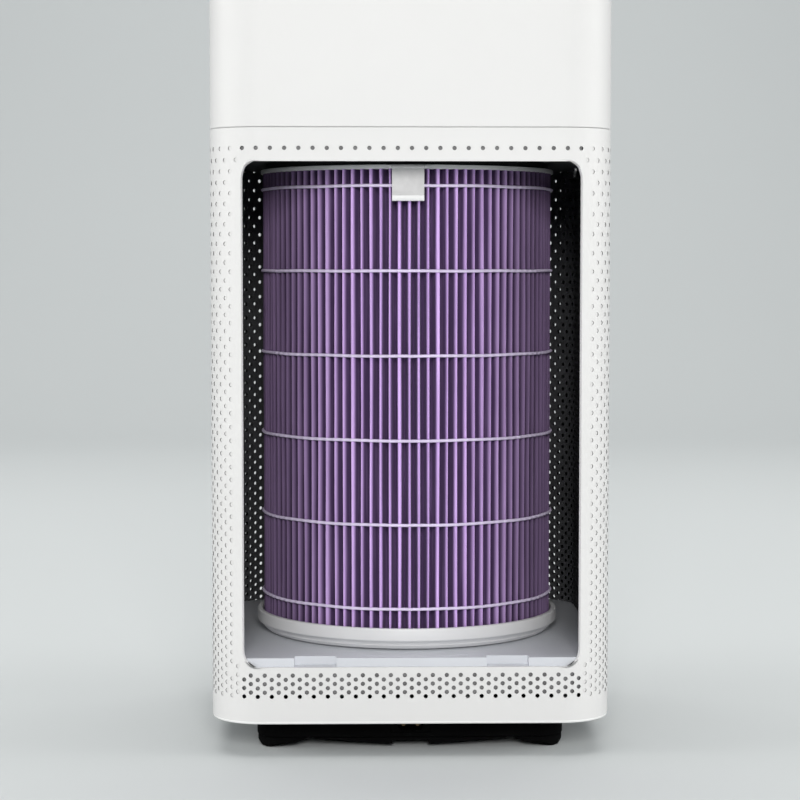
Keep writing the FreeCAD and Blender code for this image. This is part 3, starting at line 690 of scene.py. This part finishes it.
def surface(name, colour, rough, vary, grain, bump, metal=0.0, stretch=(1, 1, 1),
            cloud=22.0, coat=0.0, specular=0.5, rough_vary=0.06):
    """A moulded, metal or woven surface: clouded colour, varied roughness and a fine bump."""
    material, n, links = new_material(name)
    shader = n["Principled BSDF"]
    coords = n.new("ShaderNodeTexCoord")
    cloudy = noise(n, links, coords, cloud)
    factor = spread(n, links, cloudy.outputs["Fac"], 0.0, 1.0)
    dark = tuple(c * (1 - vary) for c in colour)
    light = tuple(min(1.0, c * (1 + vary)) for c in colour)
    links.new(tinted(n, links, factor, dark, light), shader.inputs["Base Color"])
    fine = noise(n, links, coords, grain, 2.0, stretch)
    links.new(spread(n, links, fine.outputs["Fac"], rough - rough_vary, rough + rough_vary),
              shader.inputs["Roughness"])
    relief(n, links, fine.outputs["Fac"], bump, 0.0004)
    shader.inputs["Metallic"].default_value = metal
    shader.inputs["Coat Weight"].default_value = coat
    shader.inputs["Specular IOR Level"].default_value = specular
    return material


WHITE = surface("white_casing", (0.72, 0.717, 0.713), rough=0.50, vary=0.012, grain=1400, bump=0.05, cloud=9,
                specular=0.28)
# Painted highlight: a brighter copy of the casing white, on the rounded bottom edge.
EDGE_PAINTED_HIGHLIGHT = surface("edge_painted_highlight", (0.95, 0.95, 0.94), rough=0.35, vary=0.01, grain=1400, bump=0.03, cloud=9)
WHITE_TRIM = surface("white_trim", (0.76, 0.765, 0.77), rough=0.36, vary=0.015, grain=1800, bump=0.04)
# Painted shade: the casing's inner faces, also inside the upper casing, are coloured near-black for the shade
# in the body.
INNER_PAINTED_SHADE = surface("inner_dark", (0.085, 0.088, 0.094), rough=0.62, vary=0.15, grain=900, bump=0.10)
# Painted shade: a dark grey for the floors down the band's holes beside the doorway.
LINER_PAINTED_SHADE = surface("liner_painted_shade", (0.20, 0.20, 0.205), rough=0.6, vary=0.3, grain=700, bump=0.1, cloud=60)
TRAY = surface("tray_grey", (0.63, 0.65, 0.69), rough=0.38, vary=0.03, grain=1500, bump=0.05, cloud=14)
# The base's own black, taken darker still as painted shade under the body.
BLACK_AND_PAINTED_SHADE = surface("base_black", (0.0022, 0.0022, 0.0024), rough=0.8, vary=0.2, grain=1600, bump=0.12,
                specular=0.03)
RUBBER = surface("rubber", (0.018, 0.018, 0.019), rough=0.82, vary=0.2, grain=700, bump=0.22, specular=0.3)
GRILLE = surface("grille_grey", (0.055, 0.058, 0.062), rough=0.40, vary=0.08, grain=1500, bump=0.08)
FAN = surface("fan_grey", (0.50, 0.52, 0.54), rough=0.40, vary=0.04, grain=1300, bump=0.06)
RING = surface("ring_white", (0.74, 0.74, 0.75), rough=0.40, vary=0.03, grain=1200, bump=0.06, cloud=16)
HOOP = surface("hoop_lilac", (0.76, 0.67, 0.88), rough=0.45, vary=0.08, grain=500, bump=0.15, cloud=60)
STEEL = surface("steel", (0.55, 0.55, 0.56), rough=0.28, vary=0.05, grain=1200, bump=0.06, metal=1.0,
                stretch=(1, 1, 0.08))
LAMINATION = surface("lamination", (0.24, 0.25, 0.27), rough=0.42, vary=0.1, grain=900, bump=0.4, metal=0.9,
                     stretch=(0.02, 0.02, 3))
COPPER = surface("copper", (0.55, 0.21, 0.09), rough=0.30, vary=0.12, grain=900, bump=0.5, metal=0.9,
                 stretch=(0.05, 0.05, 3), coat=0.4)
MAGNET = surface("magnet", (0.08, 0.08, 0.085), rough=0.6, vary=0.15, grain=1100, bump=0.2, metal=0.5)
CARBON = surface("carbon", (0.015, 0.015, 0.016), rough=0.9, vary=0.4, grain=420, bump=0.8, cloud=300)
GREEN = surface("board_green", (0.012, 0.11, 0.055), rough=0.32, vary=0.2, grain=260, bump=0.12, cloud=140,
                coat=0.3)
COMPONENT = surface("component_black", (0.025, 0.025, 0.026), rough=0.5, vary=0.3, grain=1300, bump=0.12,
                    cloud=80)
GLASS = surface("glass_black", (0.006, 0.006, 0.008), rough=0.10, vary=0.2, grain=300, bump=0.01, coat=1.0,
                rough_vary=0.03)
CABLE = surface("cable_grey", (0.055, 0.055, 0.06), rough=0.55, vary=0.15, grain=600, bump=0.15)
# Painted shade: the pins' brass darkened for the shadow in the inlet socket.
BRASS_PAINTED_SHADE = surface("brass_pin", (0.16, 0.12, 0.07), rough=0.4, vary=0.08, grain=900, bump=0.05, metal=1.0)


def ribbon():
    """Fine woven ribbon for the pull tab."""
    material, n, links = new_material("tab_grey")
    shader = n["Principled BSDF"]
    coords = n.new("ShaderNodeTexCoord")
    threads = []
    for axis in ("X", "Z"):
        wave = n.new("ShaderNodeTexWave")
        wave.bands_direction = axis
        wave.inputs["Scale"].default_value = 420.0
        wave.inputs["Distortion"].default_value = 0.4
        links.new(coords.outputs["Object"], wave.inputs["Vector"])
        threads.append(wave)
    weave = n.new("ShaderNodeMath")
    weave.operation = "MULTIPLY"
    links.new(threads[0].outputs["Fac"], weave.inputs[0])
    links.new(threads[1].outputs["Fac"], weave.inputs[1])
    cloudy = noise(n, links, coords, 180)
    links.new(tinted(n, links, spread(n, links, cloudy.outputs["Fac"], 0, 1), (0.60, 0.595, 0.60),
                     (0.68, 0.675, 0.68)), shader.inputs["Base Color"])
    links.new(spread(n, links, cloudy.outputs["Fac"], 0.62, 0.78), shader.inputs["Roughness"])
    relief(n, links, weave.outputs["Value"], 0.35, 0.0002)
    shader.inputs["Sheen Weight"].default_value = 0.15
    return material


def fibre():
    """Purple fibre sheet, lighter on the outer folds, with painted shade towards the roots and cartridge's
    sides.
    """
    material, n, links = new_material("filter_purple")
    shader = n["Principled BSDF"]
    coords = n.new("ShaderNodeTexCoord")
    split = n.new("ShaderNodeSeparateXYZ")
    links.new(coords.outputs["Object"], split.inputs["Vector"])
    flat = n.new("ShaderNodeCombineXYZ")
    links.new(split.outputs["X"], flat.inputs["X"])
    links.new(split.outputs["Y"], flat.inputs["Y"])
    radius = n.new("ShaderNodeVectorMath")
    radius.operation = "LENGTH"
    links.new(flat.outputs["Vector"], radius.inputs[0])
    # Painted shade in the pleats: the colour runs from dark below the outer 4 mm to light at the tips.
    folds = ((MEDIA_TIP - 4.2) * MM, (MEDIA_TIP - 0.2) * MM)
    depth = mapped(n, links, radius.outputs["Value"], folds, interpolation="SMOOTHSTEP")
    felt = noise(n, links, coords, 900, 4.0)
    streak = noise(n, links, coords, 260, 3.0, (1, 1, 0.06))
    blend = n.new("ShaderNodeMath")
    blend.operation = "MULTIPLY_ADD"
    links.new(spread(n, links, streak.outputs["Fac"], -1.0, 1.0), blend.inputs[0])
    blend.inputs[1].default_value = 0.12
    links.new(depth, blend.inputs[2])
    blend.use_clamp = True
    # Painted shade on the cartridge's sides: the colour drops to a fifth where the sheet faces within 60
    # degrees of ±X.
    facing = n.new("ShaderNodeVectorMath")
    facing.operation = "NORMALIZE"
    links.new(flat.outputs["Vector"], facing.inputs[0])
    toward = n.new("ShaderNodeSeparateXYZ")
    links.new(facing.outputs["Vector"], toward.inputs["Vector"])
    square = n.new("ShaderNodeMath")
    square.operation = "MULTIPLY"
    links.new(toward.outputs["Y"], square.inputs[0])
    links.new(toward.outputs["Y"], square.inputs[1])
    sides = mapped(n, links, square.outputs["Value"], (0.25, 1.0), (0.20, 1.0), "SMOOTHSTEP")
    # The dye's purple, carrying the painted shade of the fold roots and the sides.
    dye_with_painted_shade = tinted(n, links, blend.outputs["Value"], (0.12, 0.068, 0.18), (0.78, 0.52, 1.0))
    shaded = n.new("ShaderNodeVectorMath")
    shaded.operation = "SCALE"
    links.new(dye_with_painted_shade, shaded.inputs[0])
    links.new(sides, shaded.inputs["Scale"])
    links.new(shaded.outputs["Vector"], shader.inputs["Base Color"])
    links.new(spread(n, links, felt.outputs["Fac"], 0.62, 0.86), shader.inputs["Roughness"])
    relief(n, links, felt.outputs["Fac"], 0.3, 0.0003)
    shader.inputs["Sheen Weight"].default_value = 0.05
    shader.inputs["Specular IOR Level"].default_value = 0.1
    return material


FIBRE = fibre()
RIBBON = ribbon()
SLOT_MATERIALS = {
    "white_casing": WHITE, "white_trim": WHITE_TRIM, "tray_grey": TRAY, "inner_dark": INNER_PAINTED_SHADE,
    "base_black": BLACK_AND_PAINTED_SHADE, "rubber": RUBBER, "grille_grey": GRILLE, "fan_grey": FAN,
    "steel": STEEL, "lamination": LAMINATION, "copper": COPPER, "magnet": MAGNET, "filter_purple": FIBRE,
    "hoop_lilac": HOOP, "ring_white": RING, "tab_grey": RIBBON, "carbon": CARBON, "board_green": GREEN,
    "component_black": COMPONENT, "glass_black": GLASS, "cable_grey": CABLE, "brass_pin": BRASS_PAINTED_SHADE,
}


def dress_frame():
    """Every CAD node takes the procedural material of its slot."""
    slots = {s["node"]: s["material_slot"] for s in frame["record"]["subparts"]}
    for name, obj in nodes.items():
        material = SLOT_MATERIALS[slots[name]]
        for i in range(max(1, len(obj.material_slots))):
            if not obj.material_slots:
                obj.data.materials.append(material)
            obj.material_slots[i].material = material


# ---------------------------------------------------------------- housing pieces

def shell_loops(name, loops, body, materials, slots):
    """A closed skin through rounded-square loops of (z, half, radius), the last joined to the first."""
    straight = 2 * (HALF - CORNER_R)
    arc = math.pi / 2 * CORNER_R
    stations = []
    for side in range(4):
        start = -straight / 2 + side * (straight + arc)
        stations += [start + straight * t / SIDE_STEPS for t in range(SIDE_STEPS + 1)]
        stations += [start + straight + arc * t / ARC_STEPS for t in range(1, ARC_STEPS)]
    count = len(stations)
    points = []
    for z, half, radius in loops:
        points += [(*on_outline(s, half, radius)[:2], z) for s in stations]
    faces = []
    chosen = []
    n = len(loops)
    for k in range(n):
        m = (k + 1) % n
        for i in range(count):
            j = (i + 1) % count
            faces.append((k * count + i, k * count + j, m * count + j, m * count + i))
            chosen.append(slots[k])
    return mesh_object(name, points, faces, body, materials, slots=chosen)


def cut(target, cutter_points, cutter_faces, name):
    """Takes a closed cutter away from a piece, and keeps the result as plain mesh."""
    mesh = bpy.data.meshes.new(name)
    mesh.from_pydata([[c * MM for c in p] for p in cutter_points], [], cutter_faces)
    cutter = bpy.data.objects.new(name, mesh)
    bpy.context.collection.objects.link(cutter)
    modifier = target.modifiers.new("cut", "BOOLEAN")
    modifier.object = cutter
    modifier.solver = "EXACT"
    bpy.context.view_layer.update()
    graph = bpy.context.evaluated_depsgraph_get()
    result = bpy.data.meshes.new_from_object(target.evaluated_get(graph))
    target.modifiers.clear()
    old = target.data
    target.data = result
    bpy.data.meshes.remove(old)
    bpy.data.objects.remove(cutter)
    target.data.set_sharp_from_angle(angle=math.radians(SMOOTH_BELOW))


def prism(outline, low, high, axis):
    """A closed prism facing outwards: its outline lies across the axis, between low and high on it."""
    def place(a, b, c):
        return {"x": (c, a, b), "y": (a, c, b), "z": (a, b, c)}[axis]
    n = len(outline)
    points = [place(a, b, low) for a, b in outline] + [place(a, b, high) for a, b in outline]
    faces = [tuple(range(n)), tuple(range(2 * n - 1, n - 1, -1))]
    faces += [(i, n + i, n + (i + 1) % n, (i + 1) % n) for i in range(n)]
    return points, faces if axis == "y" else [face[::-1] for face in faces]


def ring_outline(radius, x, z):
    """A circle of 48 points."""
    sides = 48
    return [(x + radius * math.cos(2 * math.pi * i / sides), z + radius * math.sin(2 * math.pi * i / sides))
            for i in range(sides)]


def rect_outline(x, z, half_x, half_z, radius, steps=5):
    """A rounded rectangle about a centre."""
    return [(x + a, z + b) for a, b in rounded_rect(half_x, -half_z, half_z, radius, radius, steps)]


def flat_box(box, axis):
    """(centre, centre z, half width, half height) of a box, across one axis and Z."""
    low, high = box
    a, b = getattr(low, axis), getattr(high, axis)
    return (a + b) / 2 / MM, (low.z + high.z) / 2 / MM, (b - a) / 2 / MM, (high.z - low.z) / 2 / MM


def upper_casing():
    """The plain top half, with the window, button, vent and cover cut out of it."""
    low = SEAM_LOW + SEAM_GAP
    edge = UPPER_EDGE
    loops = [(low, HALF - SEAM_CHAMFER, CORNER_R - SEAM_CHAMFER), (low + SEAM_CHAMFER, HALF, CORNER_R)]
    loops += [(low + (TOP - edge - low) * t / 4, HALF, CORNER_R) for t in range(1, 5)]
    for k in range(1, UPPER_STEPS + 1):
        angle = math.pi / 2 * k / UPPER_STEPS
        inset = edge / 2 * (1 - math.cos(angle))
        loops.append((TOP - edge / 2 + edge / 2 * math.sin(angle), HALF - inset, CORNER_R - inset))
    for k in range(1, UPPER_STEPS + 1):
        angle = math.pi / 2 * k / UPPER_STEPS
        inset = edge / 2 * (1 + math.sin(angle))
        loops.append((TOP - edge / 2 + edge / 2 * math.cos(angle), HALF - inset, CORNER_R - inset))
    inner = HALF - WALL
    inner_r = CORNER_R - WALL
    inside = [(LEDGE_HIGH, inner, inner_r), (LEDGE_HIGH, LEDGE_HALF, LEDGE_R),
              (LEDGE_LOW, LEDGE_HALF, LEDGE_R), (LEDGE_LOW, inner, inner_r), (SKIRT_TOP, inner, inner_r),
              (SKIRT_TOP, inner - SKIRT, inner_r - SKIRT), (SKIRT_LOW, inner - SKIRT, inner_r - SKIRT),
              (SKIRT_LOW, inner - CUT_GAP, inner_r - CUT_GAP), (low, inner - CUT_GAP, inner_r - CUT_GAP)]
    slots = [0] * len(loops) + [INNER_SHADE_SLOT] * (len(inside) - 2) + [0, 0]
    obj = shell_loops("upper_casing_shell", loops + inside, "housing", [WHITE, INNER_PAINTED_SHADE], slots)
    _, window_z, _, _ = flat_box(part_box("display_window"), "x")
    _, button_z, _, _ = flat_box(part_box("dimmer_button"), "x")
    cover_y, cover_z, cover_half, cover_half_z = flat_box(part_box("sensor_cover"), "y")
    _, vent_z, vent_half, vent_half_z = flat_box(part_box("sensor_vent"), "x")
    cover = rect_outline(cover_y, cover_z, cover_half + CUT_GAP, cover_half_z + CUT_GAP, COVER_R)
    vent = rect_outline(0, vent_z, vent_half + CUT_GAP, vent_half_z + CUT_GAP, VENT_R)
    cut(obj, *prism(ring_outline(WINDOW_R, 0, window_z), CUT_INSIDE, CUT_OUTSIDE, "y"), "window_cut")
    cut(obj, *prism(cover, -CUT_OUTSIDE, -CUT_INSIDE, "x"), "cover_cut")
    cut(obj, *prism(vent, -CUT_OUTSIDE, -CUT_INSIDE, "y"), "vent_cut")
    cut(obj, *prism(ring_outline(DIMMER_R, 0, button_z), -CUT_OUTSIDE, -CUT_INSIDE, "y"), "button_cut")
    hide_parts("upper_casing")


# ---------------------------------------------------------------- cartridge

def pleated_media():
    """One folded sheet of 98 pleats with rounded tips, slightly uneven, closed into a tube wall."""
    low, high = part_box("filter_media")
    z0 = low.z / MM
    z1 = high.z / MM
    # One pleat from tip to tip: share of the pitch, height above the root.
    section = ((0.0, 1.0), (0.05, 0.985), (0.10, 0.94), (0.145, 0.85), (0.20, 0.66), (0.27, 0.38),
               (0.36, 0.12), (0.50, 0.0), (0.64, 0.12), (0.73, 0.38), (0.80, 0.66), (0.855, 0.85),
               (0.90, 0.94), (0.95, 0.985))
    rows = 30
    back_r = MEDIA_ROOT - MEDIA_BACK
    per = len(section)
    columns = PLEATS * per
    points = []
    for row in range(rows + 1):
        z = z0 + (z1 - z0) * row / rows
        for pleat in range(PLEATS):
            lean = 0.05 * math.sin(pleat * 2.4 + 0.7) + 0.03 * math.sin(pleat * 5.1 + z * 0.021)
            push = 0.25 * math.sin(pleat * 1.7) + 0.12 * math.sin(pleat * 3.3 + z * 0.037)
            for u, h in section:
                angle = 2 * math.pi * (pleat + u + lean * h) / PLEATS + math.radians(PLEAT_PHASE - 90)
                r = MEDIA_ROOT + (MEDIA_TIP - MEDIA_ROOT) * h - (0.5 + push) * h * 0.9
                points.append((r * math.cos(angle), r * math.sin(angle), z))
    faces = []
    for row in range(rows):
        for c in range(columns):
            d = (c + 1) % columns
            above = (row + 1) * columns
            faces.append((row * columns + c, row * columns + d, above + d, above + c))
    base = len(points)
    for row in (0, rows):
        z = z0 + (z1 - z0) * row / rows
        for c in range(columns):
            angle = 2 * math.pi * c / columns - math.pi / 2
            points.append((back_r * math.cos(angle), back_r * math.sin(angle), z))
    for c in range(columns):
        d = (c + 1) % columns
        faces.append((base + c, base + d, d, c))
        top = rows * columns
        faces.append((top + c, top + d, base + columns + d, base + columns + c))
        faces.append((base + d, base + c, base + columns + c, base + columns + d))
    obj = mesh_object("pleated_media", points, faces, "cartridge", [FIBRE], smooth_angle=50)
    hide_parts("filter_media")


def hoops():
    """Hot-melt threads laid round the pleats: a thin bead that dips a little between tips."""
    low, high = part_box("filter_hoops")
    first = low.z / MM + HOOP_INSET
    pitch = (high.z - low.z - 2 * HOOP_INSET * MM) / MM / (HOOPS - 1)
    points = []
    faces = []
    sides = PLEATS * 6
    turn_back = math.radians(PLEAT_PHASE - 90)
    ring = 8
    for h in range(HOOPS):
        start = len(points)
        for i in range(sides):
            angle = 2 * math.pi * i / sides + turn_back
            dip = 0.28 * math.cos(2 * math.pi * i / 6)
            wander = 0.12 * math.sin(i * 0.11 + h * 1.9)
            for k in range(ring):
                turn = 2 * math.pi * k / ring
                r = MEDIA_TIP - 0.15 + dip + BEAD_R * math.cos(turn)
                z = first + pitch * h + wander + BEAD_Z * math.sin(turn)
                points.append((r * math.cos(angle), r * math.sin(angle), z))
        faces += ring_faces(sides, ring, start)
    obj = mesh_object("hoop_threads", points, faces, "cartridge", [HOOP], smooth_angle=80)
    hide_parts("filter_hoops")


def cartridge_rings():
    """The tray-like base ring, the top ring and the two lugs that hold the tab's pin."""
    low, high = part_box("filter_base_ring")
    z0 = low.z / MM
    z1 = high.z / MM
    r = high.x / MM
    profile = [(0.01, z0), (88.0, z0), (90.5, z0 + 0.8), (93.9, z0 + 5.0), (r, z0 + 6.2), (r, z1),
               (93.0, z1), (92.6, z1 - 6), (92.6, z0 + 2.4), (0.01, z0 + 2.4)]
    rounded = [profile[0]] + softened(profile, 0.8)[CORNER_STEPS + 1:-CORNER_STEPS - 1] + [profile[-1]]
    obj = turned("cartridge_base", rounded, "cartridge", RING)
    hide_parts("filter_base_ring")
    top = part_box("filter_top_ring")
    z0 = top[0].z / MM
    z1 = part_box("filter_top_ring")[1].z / MM
    profile = [(58.0, z0), (93.4, z0), (93.4, z1), (90.6, z1), (90.0, z1 - 0.7), (62.5, z1 - 0.7), (62.0, z1),
               (58.0, z1)]
    obj = turned("cartridge_top", softened(profile, 0.5), "cartridge", RING)
    lug_faces = []
    lug_points = []
    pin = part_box("tab_pin")
    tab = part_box("pull_tab")
    y = (pin[0].y + pin[1].y) / 2 / MM
    z = (pin[0].z + pin[1].z) / 2 / MM
    outline = [(LUG_ROOT, z - 1.1), (LUG_ROOT, z + 1.1)]
    outline += [(y + LUG_R * math.cos(math.radians(a)), z + LUG_R * math.sin(math.radians(a)))
                for a in range(90, 271, 18)]
    for x0, x1 in ((pin[0].x / MM, tab[0].x / MM - CUT_GAP), (tab[1].x / MM + CUT_GAP, pin[1].x / MM)):
        points, faces = prism(outline, x0, x1, "x")
        start = len(lug_points)
        lug_points += points
        lug_faces += [tuple(start + v for v in face) for face in faces]
    lugs = mesh_object("tab_lugs", lug_points, lug_faces, "cartridge", [RING])
    for piece in (obj, lugs):
        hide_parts("filter_top_ring")


def pull_tab():
    """A ribbon folded over the pin, hanging down the pleats with a stiff hem."""
    low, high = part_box("pull_tab")
    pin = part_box("tab_pin")
    y = (pin[0].y + pin[1].y) / 2 / MM
    z = (pin[0].z + pin[1].z) / 2 / MM
    bottom = low.z / MM
    path = [(y + FOLD_R * math.sin(math.radians(a)), z + FOLD_R * math.cos(math.radians(a)))
            for a in range(150, -181, -22)]
    length = z - bottom
    for k in range(1, 13):
        t = k / 12
        path.append((y - 0.15 - 0.45 * math.sin(math.pi * t), z - FOLD_R - (length - FOLD_R - FOLD_R) * t))
    columns = 12
    middle = (low.x + high.x) / 2 / MM
    half = (high.x - low.x) / 2 / MM
    points = []
    for i, (py, pz) in enumerate(path):
        before = path[max(0, i - 1)]
        after = path[min(len(path) - 1, i + 1)]
        ty, tz = after[0] - before[0], after[1] - before[1]
        size = math.hypot(ty, tz)
        ny, nz = -tz / size, ty / size
        for side in (RIBBON_HALF, -RIBBON_HALF):
            for c in range(columns + 1):
                u = c / columns * 2 - 1
                crown = 0.16 * (1 - u * u) * min(1.0, i / len(path))
                points.append((middle + u * half, py + ny * side - crown, pz + nz * side))
    row = 2 * (columns + 1)
    faces = []
    for i in range(len(path) - 1):
        for c in range(columns):
            a = i * row + c
            faces.append((a, a + 1, a + row + 1, a + row))
            b = a + columns + 1
            faces.append((b + 1, b, b + row, b + row + 1))
        a = i * row
        faces.append((a, a + row, a + row + columns + 1, a + columns + 1))
        a = i * row + columns
        faces.append((a + row, a, a + columns + 1, a + row + columns + 1))
    for i in (0, len(path) - 1):
        for c in range(columns):
            a = i * row + c
            quad = (a, a + columns + 1, a + columns + 2, a + 1)
            faces.append(quad if i == 0 else quad[::-1])
    obj = mesh_object("pull_ribbon", points, faces, "pull_tab", [RIBBON], smooth_angle=60)
    outline = rect_outline(y - 0.1, bottom + HEM_HALF, 0.95, HEM_HALF, 0.6, 4)
    points, faces = prism(outline, middle - half, middle + half, "x")
    hem = mesh_object("pull_hem", points, faces, "pull_tab", [WHITE_TRIM])
    for piece in (obj, hem):
        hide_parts("pull_tab")


# ---------------------------------------------------------------- stage, light and camera

def stage():
    """A seamless pale sweep: floor, a wide curve and a far wall."""
    profile = [(-6.0, 0.0), (2.2, 0.0)]
    profile += [(2.2 + 1.6 * math.sin(math.radians(a)), 1.6 - 1.6 * math.cos(math.radians(a)))
                for a in range(6, 91, 6)]
    profile += [(3.8, 6.0)]
    points = [(x, y, z) for y, z in profile for x in (-7.0, 7.0)]
    faces = [(2 * i, 2 * i + 1, 2 * i + 3, 2 * i + 2) for i in range(len(profile) - 1)]
    mesh = bpy.data.meshes.new("sweep")
    mesh.from_pydata(points, [], faces)
    mesh.polygons.foreach_set("use_smooth", [True] * len(mesh.polygons))
    obj = bpy.data.objects.new("sweep", mesh)
    bpy.context.collection.objects.link(obj)
    mesh.materials.append(surface("sweep_paper", (0.575, 0.60, 0.605), rough=0.9, vary=0.004, grain=400,
                                  bump=0.02, cloud=2, specular=0.1))


def area_light(name, place, aim, size, power, height=None):
    """A slightly warm softbox at a place, turned to a point; square unless a height is given."""
    light = bpy.data.lights.new(name, "AREA")
    light.shape = "RECTANGLE"
    light.size = size
    light.size_y = height or size
    light.energy = power
    light.color = (1.0, 0.985, 0.965)
    obj = bpy.data.objects.new(name, light)
    bpy.context.collection.objects.link(obj)
    obj.location = place
    direction = Vector(aim) - Vector(place)
    obj.rotation_euler = direction.to_track_quat("-Z", "Y").to_euler()


def lights():
    """A dim cool world, a softbox each side, one in front, one above and one on the backdrop."""
    world = bpy.data.worlds.new("studio")
    world.use_nodes = True
    background = world.node_tree.nodes["Background"]
    background.inputs["Color"].default_value = (0.90, 0.96, 1.0, 1)
    background.inputs["Strength"].default_value = 0.25
    bpy.context.scene.world = world
    bpy.context.scene.view_settings.view_transform = "Standard"
    area_light("left_softbox", (-2.2, -0.3, 0.75), (0, 0, 0.2), 1.0, 19)
    area_light("right_softbox", (2.2, -0.3, 0.75), (0, 0, 0.2), 1.0, 19)
    area_light("key_softbox", (0.0, -2.4, 0.95), (0, 0, 0.12), 0.7, 36)
    area_light("top_softbox", (0.0, 0.2, 3.0), (0, 0.2, 0.0), 2.6, 45)
    area_light("backdrop_softbox", (0.0, 1.0, 2.6), (0, 3.6, 0.5), 3.0, 42, height=0.8)


def camera():
    """The photograph's view: eye about 0.29 m up, 1.3 m from the doorway, tilted 3.5 degrees down."""
    place = Vector((-0.0360, -1.4171, 0.2930))
    pitch = math.radians(3.51)
    yaw = math.radians(1.279)
    forward = Vector((math.sin(yaw) * math.cos(pitch), math.cos(yaw) * math.cos(pitch), -math.sin(pitch)))
    data = bpy.data.cameras.new("camera")
    data.sensor_width = 36.0
    data.lens = 99.17
    data.clip_start = 0.05
    obj = bpy.data.objects.new("camera", data)
    bpy.context.collection.objects.link(obj)
    obj.location = place
    obj.rotation_euler = forward.to_track_quat("-Z", "Y").to_euler()
    bpy.context.scene.camera = obj


# ---------------------------------------------------------------- assembly

camera()
lights()
stage()
dress_frame()
casing_part("casing_rear", -55, 54, with_block=True)
casing_part("casing_right", 54, 109)
casing_part("casing_left", 109, 165)
hole_liner("corner_liner", WHITE, CORNER_LINER_DEPTH,
           lambda column, level: abs(column) >= LINER_COLUMN)
# The band's hole floors are grey painted shade.
hole_liner("band_liner_painted_shade", LINER_PAINTED_SHADE, BAND_LINER_DEPTH,
           lambda column, level: abs(column) < LINER_COLUMN and level < LEVEL_LAST - 1)
upper_casing()
pleated_media()
hoops()
cartridge_rings()
pull_tab()
